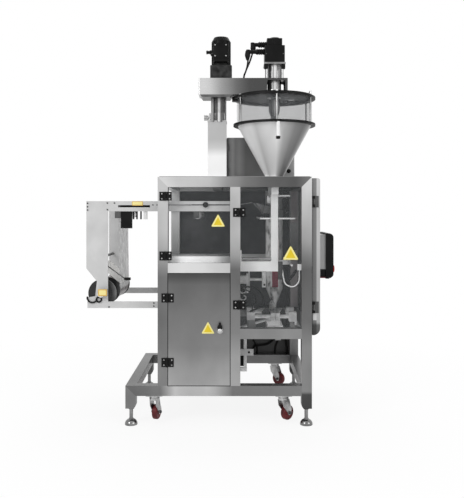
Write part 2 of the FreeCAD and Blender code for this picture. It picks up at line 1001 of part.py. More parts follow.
def caster_wheel(x, y, angle):
    """A tyre with rounded shoulders on a hub, bored for the axle."""
    centre = at(caster_trail, -wheel_width / 2, axle_height)
    tyre = rod(centre, Y, wheel_width, wheel_radius)
    rims = [e for e in tyre.Edges if len(e.Vertexes) == 1]
    tyre = tyre.makeFillet(wheel_round, rims)
    hub_reach = fork_gap - wheel_hub_gap
    hub = rod(centre - Y * hub_reach, Y, wheel_width + 2 * hub_reach, wheel_hub_radius)
    bore = rod(centre - Y * fork_gap, Y, wheel_width + 2 * fork_gap, wheel_bore + running)
    return [turned(join([tyre, hub]).cut(bore), x, y, angle)]


# Front safety door and operator's panel

guard_x0 = x_end + guard_gap
guard_x1 = guard_x0 + guard_depth
guard_y0 = y_near + guard_edge
guard_y1 = y_far - guard_edge
guard_hinge_x = x_end + guard_pin_x
guard_hinge_y = y_near + guard_pin_y


def guard_fixed_leaf(z0):
    """A plate on the front post and two arms that hold the pin outside the door's edge."""
    third = guard_hinge_height / 4
    leaf_y = y_near + sheet_inset
    plate = block(
        x_end, x_end + guard_leaf, leaf_y, leaf_y + guard_leaf_width, z0, z0 + guard_hinge_height
    )
    parts = [plate]
    half = guard_arm_width / 2
    for low in (z0, z0 + guard_hinge_height - third):
        parts.append(
            block(
                x_end + guard_leaf / 2, guard_hinge_x, guard_hinge_y - half, guard_hinge_y + half,
                low, low + third,
            )
        )
        parts.append(rod(at(guard_hinge_x, guard_hinge_y, low), Z, third, guard_knuckle_radius))
    parts.append(rod(at(guard_hinge_x, guard_hinge_y, z0), Z, guard_hinge_height, guard_pin_radius))
    return join(parts)


def guard_moving_leaf(z0):
    """The door's leaf on the guard's near side, with the middle knuckle."""
    third = guard_hinge_height / 4
    low = z0 + third + knuckle_play
    tall = guard_hinge_height - 2 * third - 2 * knuckle_play
    half = guard_arm_width / 2
    plate = block(
        guard_hinge_x - guard_knuckle_radius, guard_hinge_x + guard_moving_width,
        guard_y0 - guard_moving_leaf_thickness, guard_y0, z0, z0 + guard_hinge_height,
    )
    tab = block(
        guard_hinge_x - half, guard_hinge_x + half,
        guard_hinge_y, guard_y0 - guard_moving_leaf_thickness / 2, low, low + tall,
    )
    knuckle = rod(at(guard_hinge_x, guard_hinge_y, low), Z, tall, guard_knuckle_radius)
    bore = rod(
        at(guard_hinge_x, guard_hinge_y, z0), Z, guard_hinge_height, guard_pin_radius + running
    )
    return join([plate, tab, knuckle]).cut(bore)


def front_door():
    """A deep guard, open towards the machine, with a large round at its foot."""
    solid = block(guard_x0, guard_x1, guard_y0, guard_y1, guard_bottom, guard_top)
    solid = round_edges(
        solid, guard_low_round, Y, lambda m: m.x > guard_x1 - 1 and m.z < guard_bottom + 1
    )
    solid = round_edges(solid, guard_top_round, Y, lambda m: m.x > guard_x1 - 1 and m.z > guard_top - 1)
    w = guard_wall
    hollow = block(guard_x0, guard_x1 - w, guard_y0 + w, guard_y1 - w, guard_bottom + w, guard_top - w)
    hollow = round_edges(
        hollow, guard_low_round - w, Y,
        lambda m: m.x > guard_x1 - w - 1 and m.z < guard_bottom + w + 1,
    )
    leaves = [
        guard_moving_leaf(guard_bottom + guard_hinge_low),
        guard_moving_leaf(guard_bottom + guard_hinge_high),
    ]
    return [solid.cut(hollow)] + leaves


panel_y0 = y_near + panel_start
panel_y1 = panel_y0 + panel_width
panel_top = panel_bottom + panel_height
bezel_x0 = guard_x1 + panel_back_depth
bezel_x1 = bezel_x0 + bezel_depth
screen_y0 = (panel_y0 + panel_y1 - screen_width) / 2
screen_z0 = panel_bottom + screen_rise
button_z = panel_bottom + button_drop
start_hole_radius = start_button_radius + button_hole_gap
stop_button_y = panel_y0 + panel_width * stop_button_share
start_button_y = panel_y1 - panel_width * stop_button_share


def hmi_housing():
    """Back box on the door, and the deeper bezel in front with a recess and button holes."""
    inset = panel_back_inset
    back = block(
        guard_x1, bezel_x0, panel_y0 + inset, panel_y1 - inset, panel_bottom + inset, panel_top - inset
    )
    bezel = block(bezel_x0, bezel_x1, panel_y0, panel_y1, panel_bottom, panel_top)
    bezel = round_edges(bezel, bezel_round, Y, lambda m: m.x > bezel_x1 - 1)
    recess = block(
        bezel_x1 - screen_thickness - screen_sink, bezel_x1,
        screen_y0, screen_y0 + screen_width, screen_z0, screen_z0 + screen_height,
    )
    bezel = bezel.cut(recess)
    for y, radius in ((stop_button_y, stop_stem_radius), (start_button_y, start_hole_radius)):
        bezel = bezel.cut(rod(at(bezel_x1 - button_depth, y, button_z), X, button_depth, radius))
    trim = block(
        bezel_x0, bezel_x1 - bezel_round, panel_y0, panel_y1, panel_bottom - panel_trim, panel_bottom
    )
    return [back, bezel, trim]


def hmi_screen():
    x1 = bezel_x1 - screen_sink
    return [
        block(
            x1 - screen_thickness, x1, screen_y0, screen_y0 + screen_width,
            screen_z0, screen_z0 + screen_height,
        )
    ]


def emergency_stop():
    """A mushroom head on a stem that runs in its hole."""
    start = at(bezel_x1 - button_stem, stop_button_y, button_z)
    rise = stop_button_travel + button_clearance
    stem = rod(start, X, button_stem + rise, stop_stem_radius - running)
    head = rod(start + X * (button_stem + rise), X, stop_head_height, stop_button_radius)
    head = head.makeFillet(stop_head_round, [e for e in head.Edges if len(e.Vertexes) == 1])
    return [join([stem, head])]


def start_button():
    start = at(bezel_x1 - button_stem, start_button_y, button_z)
    length = button_stem + start_button_travel + button_clearance
    return [rod(start, X, length, start_hole_radius - running)]


# Cabinet contents and rear control box


def electrical_panel():
    """Backplate on four standoffs, with duct, controller, drives, relays and power supply."""
    plate_y = y_in_far - backplate_standoff
    face = plate_y - backplate_thickness
    x0 = x_left + tube_size + backplate_side
    x1 = x_mid - backplate_side
    z0 = base_top + backplate_end
    z1 = left_sill - backplate_end
    pieces = [block(x0, x1, face, plate_y, z0, z1)]
    inset = backplate_side
    for x in (x0 + inset, x1 - inset):
        for z in (z0 + inset, z1 - inset):
            pieces.append(rod(at(x, plate_y, z), Y, far_sheet_y - plate_y, standoff_radius))

    def device(x, z, width, height, depth):
        return block(x, x + width, face - depth, face, z, z + height)

    wide = x1 - x0 - inset
    for low in (z0 + inset, z0 + relay_low + relay_height + inset, z1 - inset - duct_height):
        pieces.append(device(x0 + inset / 2, low, wide, duct_height, duct_depth))
    upper_z = z1 - inset - duct_height - inset / 2 - controller_height
    pieces.append(device(x0 + inset, upper_z, controller_width, controller_height, controller_depth))
    supply_x = x0 + inset + controller_width + inset
    pieces.append(device(supply_x, upper_z, supply_width, controller_height, supply_depth))
    for i in range(relays):
        x = x0 + inset + relay_pitch * i
        pieces.append(device(x, z0 + relay_low, relay_width, relay_height, relay_depth))
    drive_z = z0 + relay_low + relay_height + 2 * inset + duct_height
    for i in range(2):
        x = x0 + inset + (drive_width + inset) * i
        pieces.append(device(x, drive_z, drive_width, drive_height, drive_depth))
    return pieces


def rear_control_box():
    """A closed box for the filler's drives, on the deck behind the hopper."""
    x0 = x_left + box_left
    x1 = x_left + box_right
    y0 = y_far - box_rear_gap - box_depth
    top = deck_top + box_height
    body = block(x0, x1, y0, y0 + box_depth, deck_top, top)
    body = round_edges(body, box_round, Z)
    inset = box_door_inset
    door = block(x0 + inset, x1 - inset, y0 - box_door, y0, deck_top + inset, top - inset)
    return [body, door]


# Column and arm


def column_sleeve():
    """Foot plate, square sleeve, bored cap and the split collar that clamps the lift."""
    half = column_size / 2
    wide = column_foot_size / 2
    x, y = column_x, y_mid
    z0 = deck_top + column_foot_thickness
    foot = block(x - wide, x + wide, y - wide, y + wide, deck_top, z0)
    foot = round_edges(foot, column_foot_round, Z)
    sleeve = block(x - half, x + half, y - half, y + half, z0, column_top)
    w = column_wall
    sleeve = sleeve.cut(block(x - half + w, x + half - w, y - half + w, y + half - w, z0, column_top))
    top = column_top + column_cap
    lip = half + column_cap_lip
    cap = block(x - lip, x + lip, y - lip, y + lip, column_top, top)
    collar = block(
        x - collar_length / 2, x + collar_length / 2,
        y - collar_width / 2, y + collar_width / 2, top, top + collar_height,
    )
    collar = round_edges(collar, collar_round, Z)
    for offset, radius in ((lift_tube_offset, lift_tube_radius), (guide_rod_offset, guide_rod_radius)):
        bore = rod(at(x + offset, y, column_top), Z, column_cap + collar_height, radius + running)
        cap = cap.cut(bore)
        collar = collar.cut(bore)
    screw = rod(
        at(x - collar_length / 2, y, top + collar_height / 2), X, collar_length / 2,
        clamp_screw_radius + running,
    )
    slot = block(
        x + lift_tube_offset, x + collar_length / 2, y - collar_slot / 2, y + collar_slot / 2,
        top, top + collar_height,
    )
    return [foot, sleeve, cap, collar.cut(screw).cut(slot)]


clamp_z = column_top + column_cap + collar_height / 2
clamp_x = column_x - collar_length / 2


def clamp_knob():
    """A six-lobed knob on the screw that presses on the guide rod."""
    reach = column_x + guide_rod_offset - guide_rod_radius - clamp_play - clamp_x
    screw = rod(at(clamp_x - clamp_gap, y_mid, clamp_z), X, clamp_gap + reach, clamp_screw_radius)
    start = at(clamp_x - clamp_gap - clamp_knob_length, y_mid, clamp_z)
    body = rod(start, X, clamp_knob_length, clamp_knob_radius - clamp_lobe_radius / 2)
    lobes = []
    for i in range(clamp_lobes):
        turn = 2 * math.pi * i / clamp_lobes
        offset = at(0, math.cos(turn), math.sin(turn)) * (clamp_knob_radius - clamp_lobe_radius)
        lobes.append(rod(start + offset, X, clamp_lobe_length, clamp_lobe_radius))
    return [join([screw, body] + lobes)]


def lift_tubes():
    """The chrome lift tube and the thinner guide rod, down from the arm into the sleeve."""
    bottom = column_top - lift_insert
    length = arm_underside - arm_plate - bottom
    tube = pipe(
        at(column_x + lift_tube_offset, y_mid, bottom), Z, length,
        lift_tube_radius, lift_tube_radius - lift_tube_wall,
    )
    guide = rod(at(column_x + guide_rod_offset, y_mid, bottom), Z, length, guide_rod_radius)
    return [tube, guide]


def arm_housing():
    """A sheet housing for the drive, its access window, and the thick plate under its tail."""
    x0 = x_left + arm_left
    x1 = x_left + arm_right
    y0 = y_mid - arm_half_depth
    y1 = y_mid + arm_half_depth
    w = arm_wall
    shell = block(x0, x1, y0, y1, arm_underside, arm_top)
    shell = round_edges(shell, arm_round, Z)
    shell = shell.cut(block(x0 + w, x1 - w, y0 + w, y1 - w, arm_underside + w, arm_top - w))
    window = block(
        x_left + access_left, x_left + access_right, y0, y1,
        arm_underside + access_low, arm_underside + access_high,
    )
    shell = shell.cut(round_edges(window, access_round, Y))
    gear_x = x_left + gear_motor_offset
    for x, z, radius in (
        (filler_x, arm_underside, auger_shaft_radius + sleeve_wall),
        (filler_x, arm_top - w, coupling_radius),
        (gear_x, arm_top - w, gear_shaft_radius),
    ):
        shell = shell.cut(rod(at(x, y_mid, z), Z, w, radius + arm_hole_gap))
    plate = outline(
        [
            at(x_left + arm_plate_left + arm_plate_slant, y0, arm_underside - arm_plate),
            at(x_left + arm_plate_right - arm_plate_slant, y0, arm_underside - arm_plate),
            at(x_left + arm_plate_right, y0, arm_underside),
            at(x_left + arm_plate_left, y0, arm_underside),
        ],
        Y * (2 * arm_half_depth),
    )
    return [shell, plate]


def gear_motor():
    """Gearbox, finned motor body with a domed cowl, terminal box and cable gland."""
    x = x_left + gear_motor_offset
    half = gearbox_size / 2
    z0 = arm_top + gearbox_height
    top = z0 + motor_height
    gearbox = block(x - half, x + half, y_mid - half, y_mid + half, arm_top, z0)
    gearbox = round_edges(gearbox, gearbox_round, Z)
    flange = rod(at(x, y_mid, z0), Z, motor_flange, motor_radius + motor_flange_lip)
    body = rod(at(x, y_mid, z0 + motor_flange), Z, motor_height - motor_flange, motor_radius)
    cowl = Part.makeCone(
        motor_radius + cowl_lip, motor_radius - cowl_taper, motor_cowl_height, at(x, y_mid, top), Z
    )
    fins = []
    for i in range(motor_fins):
        fin = block(
            motor_radius - fin_height, motor_radius + fin_height, -fin_width / 2, fin_width / 2,
            z0 + motor_flange + fin_height, top - fin_height,
        )
        fin.rotate(at(0, 0, 0), Z, 360 / motor_fins * (i + 0.5))
        fin.translate(at(x, y_mid, 0))
        fins.append(fin)
    box_y = y_mid - motor_radius - terminal_box_depth
    half_box = terminal_box_width / 2
    terminal = block(
        x - half_box, x + half_box, box_y, y_mid - motor_radius / 2,
        arm_top + terminal_box_low, arm_top + terminal_box_high,
    )
    terminal = round_edges(terminal, terminal_box_round, Y)
    gland_z = arm_top + (terminal_box_low + terminal_box_high) / 2
    gland = rod(
        at(x - half_box - gland_length, box_y + terminal_box_depth / 2, gland_z),
        X, gland_length, gland_radius,
    )
    shaft_low = arm_underside + sprocket_rise - sprocket_lap
    shaft = rod(at(x, y_mid, shaft_low), Z, arm_top - shaft_low, gear_shaft_radius)
    sprocket = rod(
        at(x, y_mid, arm_underside + sprocket_rise), Z, sprocket_thickness, drive_sprocket_radius
    )
    return [join([gearbox, flange, body, cowl, terminal, gland] + fins), join([shaft, sprocket])]


def servo_motor():
    """Square servo motor with its encoder cap and two elbow connectors."""
    half = servo_size / 2
    z0 = servo_base
    body = block(filler_x - half, filler_x + half, y_mid - half, y_mid + half, z0, z0 + servo_height)
    body = round_edges(body, servo_round, Z)
    half_cap = encoder_size / 2
    top = z0 + servo_height
    cap = block(
        filler_x - half_cap, filler_x + half_cap, y_mid - half_cap, y_mid + half_cap,
        top, top + encoder_height,
    )
    cap = round_edges(cap, servo_round, Z)
    connectors = []
    for start in connector_ends():
        length = filler_x - half_cap + servo_round - start.x
        connectors.append(rod(start, X, length, connector_radius))
        drop = start - Z * connector_drop
        connectors.append(rod(drop, Z, connector_drop + connector_radius, connector_radius))
    return [join([body, cap] + connectors)]


def connector_ends():
    """Where each elbow connector turns down, the upper one behind the lower one."""
    x = filler_x - encoder_size / 2 - connector_reach
    upper = servo_base + servo_height + encoder_height / 2 - 2
    lower = servo_base + servo_height - connector_inset
    return [
        at(x, y_mid + connector_spread, upper),
        at(x - connector_step, y_mid - connector_spread, lower),
    ]


def tie_rods_and_pillars():
    """Servo flange, its four pillars and coupling, the hopper's tie rods and the cone's handle."""
    pieces = []
    half = servo_size / 2 + servo_flange_lip
    low = servo_base - servo_flange
    flange = block(
        filler_x - half, filler_x + half, y_mid - half, y_mid + half, low, servo_base
    )
    bore = rod(at(filler_x, y_mid, low), Z, servo_flange, coupling_radius + servo_flange_lip)
    pieces.append(flange.cut(bore))
    for i in (-1, 1):
        for j in (-1, 1):
            pieces.append(
                rod(
                    at(filler_x + i * pillar_spread, y_mid + j * pillar_spread, arm_top),
                    Z, servo_rise - servo_flange, pillar_radius,
                )
            )
    z0 = cone_top + ring_thickness
    for i in range(tie_rods):
        turn = math.radians(360 / tie_rods * (i + 0.5))
        x = filler_x + tie_rod_circle * math.cos(turn)
        y = y_mid + tie_rod_circle * math.sin(turn)
        pieces.append(rod(at(x, y, z0), Z, drum_height, tie_rod_radius))
    return pieces


def hopper_cone():
    """The sheet cone with its neck flange, and the auger tube that hangs from the neck."""
    base = at(filler_x, y_mid, neck_height)
    tall = cone_top - neck_height
    cone = Part.makeCone(neck_radius, cone_top_radius, tall, base, Z)
    inside = Part.makeCone(neck_radius - cone_wall, cone_top_radius - cone_wall, tall, base, Z)
    flange = rod(base - Z * neck_flange, Z, neck_flange, neck_flange_radius)
    bore = rod(base - Z * neck_flange, Z, neck_flange, auger_tube_radius)
    tube = pipe(
        at(filler_x, y_mid, auger_tube_bottom), Z, neck_height - auger_tube_bottom,
        auger_tube_radius, auger_tube_radius - auger_tube_wall,
    )
    handle_y = y_mid - ring_radius + handle_radius + 1
    handle = rod(
        at(filler_x + handle_offset, handle_y, cone_top - handle_length), Z, handle_length, handle_radius
    )
    return [cone.cut(inside).fuse(flange.cut(bore)).removeSplitter(), tube, handle]


def cone_radius_at(z):
    share = (z - neck_height) / (cone_top - neck_height)
    return neck_radius + share * (cone_top_radius - neck_radius)


def hopper_rings():
    """The two clamping rings, below and above the clear drum."""
    pieces = []
    for z0 in (cone_top, lid_underside - ring_thickness):
        pieces.append(pipe(at(filler_x, y_mid, z0), Z, ring_thickness, ring_radius, ring_bore))
    return pieces


def hopper_cylinder():
    z0 = cone_top + ring_thickness
    return [pipe(at(filler_x, y_mid, z0), Z, drum_height, drum_radius, drum_radius - drum_wall)]


def hopper_lid():
    """Lid with a bored hub for the agitator and an open feed port at the back."""
    lid = rod(at(filler_x, y_mid, lid_underside), Z, lid_thickness, lid_radius)
    hub = rod(at(filler_x, y_mid, lid_top), Z, arm_underside - lid_top, lid_hub_radius)
    shaft_bore = rod(
        at(filler_x, y_mid, lid_underside), Z, arm_underside - lid_underside,
        auger_shaft_radius + sleeve_wall + running * 2,
    )
    port_x = filler_x + feed_port_offset
    port_y = y_mid + feed_port_offset
    port_height = lid_thickness + feed_port_height
    feed_bore = rod(at(port_x, port_y, lid_underside), Z, port_height, feed_port_radius)
    port = rod(at(port_x, port_y, lid_top), Z, feed_port_height, feed_port_radius + feed_port_wall)
    return [join([lid, hub, port]).cut(shaft_bore).cut(feed_bore)]


def auger_screw():
    """Shaft with a helical flight that fills the auger tube, and its coupling under the servo."""
    bottom = auger_tube_bottom + auger_end_gap
    shaft_length = servo_base - bottom - hinge_leaf_gap
    shaft = rod(at(filler_x, y_mid, bottom), Z, shaft_length, auger_shaft_radius)
    coupling_low = arm_top - coupling_drop
    coupling_top = servo_base - coupling_top_gap
    coupling = rod(at(filler_x, y_mid, coupling_low), Z, coupling_top - coupling_low, coupling_radius)
    inner = auger_shaft_radius - auger_lap
    helix = Part.makeHelix(auger_pitch, auger_pitch * auger_turns, inner)
    half = auger_flight_thickness / 2
    profile = Part.makePolygon(
        [
            at(inner, 0, -half),
            at(auger_flight_radius, 0, -half),
            at(auger_flight_radius, 0, half),
            at(inner, 0, half),
            at(inner, 0, -half),
        ]
    )
    flight = Part.Wire(helix).makePipeShell([profile], True, True)
    flight.translate(at(filler_x, y_mid, bottom + auger_flight_thickness))
    return [join([shaft, coupling]).fuse(flight)]


def agitator():
    """A sleeve round the auger shaft, with its sprocket in the arm and two scraper arms."""
    inner = auger_shaft_radius + running
    outer = auger_shaft_radius + sleeve_wall
    low = cone_top - agitator_drop
    top = arm_underside + sprocket_rise + sprocket_thickness + sprocket_lap
    half = agitator_blade / 2
    sleeve = rod(at(filler_x, y_mid, low), Z, top - low, outer)
    sprocket = rod(
        at(filler_x, y_mid, arm_underside + sprocket_rise), Z,
        sprocket_thickness, agitator_sprocket_radius,
    )
    hub = Part.makeCone(
        agitator_hub_radius, outer, agitator_hub_height, at(filler_x, y_mid, cone_top + agitator_blade), Z
    )
    parts = [sleeve, sprocket, hub]
    upper = at(filler_x + agitator_reach, y_mid - half, cone_top + agitator_blade)
    lower = at(filler_x + cone_radius_at(low) - scraper_gap, y_mid - half, low)
    for turn in (0, 180):
        spoke = block(
            filler_x, upper.x, y_mid - half, y_mid + half, cone_top, cone_top + agitator_blade
        )
        blade = outline(
            [upper, upper - X * scraper_width, lower - X * scraper_width, lower],
            Y * agitator_blade,
        )
        foot = block(filler_x, lower.x, y_mid - half, y_mid + half, low, low + agitator_blade)
        arm = join([spoke, blade, foot])
        arm.rotate(at(filler_x, y_mid, 0), Z, agitator_rest_turn + turn)
        parts.append(arm)
    return [join(parts).cut(rod(at(filler_x, y_mid, low), Z, top - low, inner))]


# Film rack, rollers and film

rack_x0 = x_left - rack_reach
rack_x1 = rack_x0 + rack_plate_width


def rack_side(y0):
    """One side plate with the roll shaft's hole, its slotted top rail and its lower bar."""
    y1 = y0 + rack_thickness
    foot_x = rack_x0 + rack_foot_inset
    plate = outline(
        [
            at(rack_x0, y0, rack_top),
            at(rack_x1, y0, rack_top),
            at(rack_x1, y0, rack_bottom),
            at(foot_x, y0, rack_bottom),
            at(foot_x, y0, rack_foot_top),
            at(x_left - rack_notch, y0, rack_notch_top),
            at(x_left - rack_waist, y0, rack_slant_bottom),
            at(rack_x0, y0, rack_slant_top),
        ],
        Y * rack_thickness,
    )
    hole = rod(at(roll_x, y0, roll_height), Y, rack_thickness, roll_shaft_radius + running)
    rail = block(rack_x1, x_mid + rail_overlap, y0, y1, rack_top - rail_height, rack_top)
    middle = rack_top - rail_height / 2
    for start, length in (
        (rack_x1 + rear_slot_inset, rear_slot_length),
        (x_left + tube_size + front_slot_inset, front_slot_length),
    ):
        low = middle - slot_height / 2
        rail = rail.cut(block(start, start + length, y0, y1, low, low + slot_height))
    bar = block(rack_x1, x_left + bar_end, y0, y1, rack_bottom, rack_bottom + bar_height)
    return [plate.cut(hole), rail, bar]


def rack_bosses(y0, post_y):
    """The round spacers between a rail or bar and the posts."""
    low = min(post_y, y0 + rack_thickness)
    length = abs(post_y - (y0 if post_y < y0 else y0 + rack_thickness))
    places = (
        (x_left + boss_inset, rack_bottom + bar_height / 2),
        (x_left + boss_inset, rack_top - boss_drop),
        (x_mid + boss_inset, rack_top - boss_drop),
    )
    return [rod(at(x, low, z), Y, length, boss_radius) for x, z in places]


def roller_hangers():
    """The fixed shaft of each guide roller and the plates that carry it under the rails."""
    pieces = []
    half = hanger_width / 2
    for x in (x_left + roller_a_offset, x_left + roller_b_offset):
        shaft = rod(at(x, rail_y0, roller_height), Y, rail_y1 - rail_y0, roller_shaft_radius)
        pieces.append(shaft)
        for y0 in (rail_y0, rail_y1 - hanger_thickness):
            hanger = block(
                x - half, x + half, y0, y0 + hanger_thickness,
                roller_height - half, rack_top - hanger_thickness,
            )
            pieces.append(hanger.cut(shaft))
    return pieces


def rail_fittings():
    """The web sensor's body, three posts and a terminal, all behind the near rail's lower edge."""
    top = rack_top - rail_height + fitting_lap
    y1 = rail_y0 + fitting_depth
    low = rack_top - rail_height - post_drop
    sensor_x = x_left + sensor_offset
    terminal_x = x_left + terminal_offset
    pieces = [
        block(
            sensor_x, sensor_x + sensor_width, rail_y0, y1,
            rack_top - rail_height - sensor_drop, top,
        ),
        block(terminal_x, terminal_x + terminal_width, rail_y0, y1, low, top),
    ]
    for offset in post_offsets:
        x = x_left + offset
        pieces.append(block(x, x + post_width, rail_y0, rail_y0 + post_width, low, top))
    return pieces


def film_rack():
    """Two side plates, slotted top rails, lower bars, spacers on the posts, rods and fittings."""
    pieces = []
    for y0, post_y in ((rack_near_y, y_in_near), (rack_far_y, y_in_far)):
        pieces += rack_side(y0) + rack_bosses(y0, post_y)
    for x, z in (
        (rack_x0 + cross_rod_inset, rack_top - cross_rod_inset),
        (rack_x0 + cross_rod_inset, rack_slant_top + cross_rod_rise),
    ):
        pieces.append(rod(at(x, rail_y0, z), Y, rail_y1 - rail_y0, cross_rod_radius))
    return pieces + roller_hangers() + rail_fittings()


def guide_roller(x):
    """A tube with bored ends that turns on its fixed shaft."""
    start = at(x, y_mid - roller_length / 2, roller_height)
    inside = roller_radius - roller_wall
    tube = pipe(start, Y, roller_length, roller_radius, inside)
    ends = []
    for y in (0, roller_length - roller_end):
        ends.append(
            pipe(start + Y * y, Y, roller_end, inside + tube_lap, roller_shaft_radius + running)
        )
    return [join([tube] + ends)]


def film_roll():
    """The wound film and its core."""
    start = at(roll_x, y_mid - film_width / 2, roll_height)
    film_part = pipe(start, Y, film_width, roll_radius, roll_core_radius)
    core = pipe(start, Y, film_width, roll_core_radius, roll_core_radius - roll_core_wall)
    return [film_part, core]


def roll_chucks():
    """The roll's shaft, the flanges and plugs that hold the core, the brake disc and the knob."""
    y0 = rack_near_y - roll_shaft_reach
    y1 = rack_far_y + rack_thickness + roll_shaft_reach
    middle = at(roll_x, 0, roll_height)
    pieces = [rod(middle + Y * y0, Y, y1 - y0, roll_shaft_radius)]
    for side in (-1, 1):
        face = y_mid + side * film_width / 2
        flange_y = min(face, face + side * roll_flange_thickness)
        pieces.append(rod(middle + Y * flange_y, Y, roll_flange_thickness, roll_flange_radius))
        plug_y = min(face, face - side * roll_plug_length)
        plug_radius = roll_core_radius - roll_core_wall
        pieces.append(rod(middle + Y * plug_y, Y, roll_plug_length, plug_radius))
    hub_y = rail_y0 + brake_gap
    disc_y = hub_y + brake_hub_thickness
    pieces.append(rod(middle + Y * hub_y, Y, brake_hub_thickness, brake_hub_radius))
    pieces.append(rod(middle + Y * disc_y, Y, brake_disc_thickness, brake_disc_radius))
    pieces.append(
        rod(middle + Y * (y0 - roll_knob_length), Y, roll_knob_length, roll_knob_radius)
    )
    return [join(pieces)]


def film_web():
    """The film from the roll over both guide rollers and on to the forming collar."""
    gap = film_gap
    ax = x_left + roller_a_offset
    bx = x_left + roller_b_offset
    radius = roller_radius + gap
    top = roller_height + radius
    tangent = at(roll_x + roll_radius + gap + film, 0, roll_height)
    turn = math.sqrt(0.5)
    edge_x = filler_x - collar_shoulder_radius - web_edge_gap
    edge_z = collar_plate_height + bracket_thickness + collar_shoulder_height + web_edge_rise

    def line(offset):
        r = radius + offset
        start = tangent - X * offset
        left = at(ax - r, 0, roller_height)
        crown = at(ax, 0, roller_height + r)
        over = Part.Arc(left, at(ax - r * turn, 0, roller_height + r * turn), crown)
        far = at(bx, 0, top + offset)
        last = at(edge_x, 0, edge_z + offset)
        return [
            Part.makeLine(start, left),
            over.toShape(),
            Part.makeLine(crown, far),
            Part.makeLine(far, last),
        ]

    inner = line(0.0)
    outer = line(film)
    ends = [
        Part.makeLine(inner[-1].Vertexes[-1].Point, outer[-1].Vertexes[-1].Point),
        Part.makeLine(outer[0].Vertexes[0].Point, inner[0].Vertexes[0].Point),
    ]
    wire = Part.Wire(Part.__sortEdges__(inner + outer + ends))
    web = Part.Face(wire).extrude(Y * film_width)
    web.translate(at(0, y_mid - film_width / 2, 0))
    return web


def film_tube():
    """The film wrapped round the forming tube, and below it the pinch down to the jaws."""
    r = forming_radius + film_tube_clearance
    top = collar_plate_height - film_tube_drop
    low = forming_bottom - web_edge_gap
    tube = pipe(at(filler_x, y_mid, low), Z, top - low, r + film, r)
    rings = []
    flat = math.pi * r / 2
    for i in range(pinch_steps + 1):
        share = i / pinch_steps
        z = low + (pinch_top - low) * share
        thin = (r + film) * (1 - share) + pinch_thickness / 2 * share
        wide = (r + film) * (1 - share) + flat * share
        ring = Part.Ellipse(at(0, 0, 0), wide, thin).toShape()
        ring.rotate(at(0, 0, 0), Z, 90)
        ring.translate(at(filler_x, y_mid, z))
        rings.append(Part.Wire(ring))
    pinch = Part.makeLoft(rings, True, False)
    half = pinch_thickness / 2
    strip = block(
        filler_x - half, filler_x + half, y_mid - flat, y_mid + flat, pinch_bottom, pinch_top
    )
    return [tube, pinch, strip]


# Forming

support_x1 = filler_x + support_bar_offset
support_x0 = support_x1 - support_bar_width
support_y = (y_near + support_bar_near, y_far - support_bar_near - support_bar_thickness)


def former_support():
    """Near and far bars from the top beams, their rails from the middle posts, brackets, guides."""
    pieces = []
    t = support_bar_thickness
    rail_top = support_low + support_rail_height
    for y0 in support_y:
        pieces.append(block(support_x0, support_x1, y0, y0 + t, rail_top, top_underside))
        pieces.append(block(divider_x, support_x1, y0, y0 + t, support_low, rail_top))
        side_y = y_in_near if y0 < y_mid else y0 + t
        other = y0 if y0 < y_mid else y_in_far
        low = top_underside - support_bar_width
        pieces.append(block(support_x0, support_x1, side_y, other, low, top_underside))
    y0 = support_y[0] + t
    y1 = support_y[1]
    lower_z = collar_plate_height
    lower = block(
        support_x0 - collar_plate_left, filler_x + collar_plate_right, y0, y1,
        lower_z, lower_z + bracket_thickness,
    )
    upper_z = forming_top - bracket_thickness
    upper = block(support_x0, filler_x + upper_plate_right, y0, y1, upper_z, forming_top)
    film_outside = forming_radius + film_tube_clearance + film
    for plate, z, radius in (
        (lower, lower_z, film_outside + face_gap),
        (upper, upper_z, forming_radius),
    ):
        pieces.append(plate.cut(rod(at(filler_x, y_mid, z), Z, bracket_thickness, radius)))
    for side in (-1, 1):
        start = at(filler_x + side * belt_guide_spread, y0, belt_middle)
        pieces.append(rod(start, Y, y1 - y0, belt_guide_radius))
    return pieces


def forming_set():
    """The forming tube and the raked collar that turns the flat web down round it."""
    tube = pipe(
        at(filler_x, y_mid, forming_bottom), Z, forming_top - forming_bottom,
        forming_radius, forming_radius - forming_wall,
    )
    base = at(filler_x, y_mid, collar_plate_height + bracket_thickness)
    inner = forming_radius + film_tube_clearance + film + face_gap
    wall = collar_wall
    tall = collar_shoulder_height
    outside = Part.makeCone(inner + wall, collar_shoulder_radius, tall, base, Z)
    inside = Part.makeCone(inner, collar_shoulder_radius - wall, tall, base, Z)
    reach = collar_shoulder_radius + collar_rake_margin
    rake = outline(
        [
            base + at(-reach, -reach, collar_rake_left),
            base + at(reach, -reach, collar_rake_right),
            base + at(reach, -reach, 2 * tall),
            base + at(-reach, -reach, 2 * tall),
        ],
        Y * (2 * reach),
    )
    return [tube, outside.cut(inside).cut(rake)]


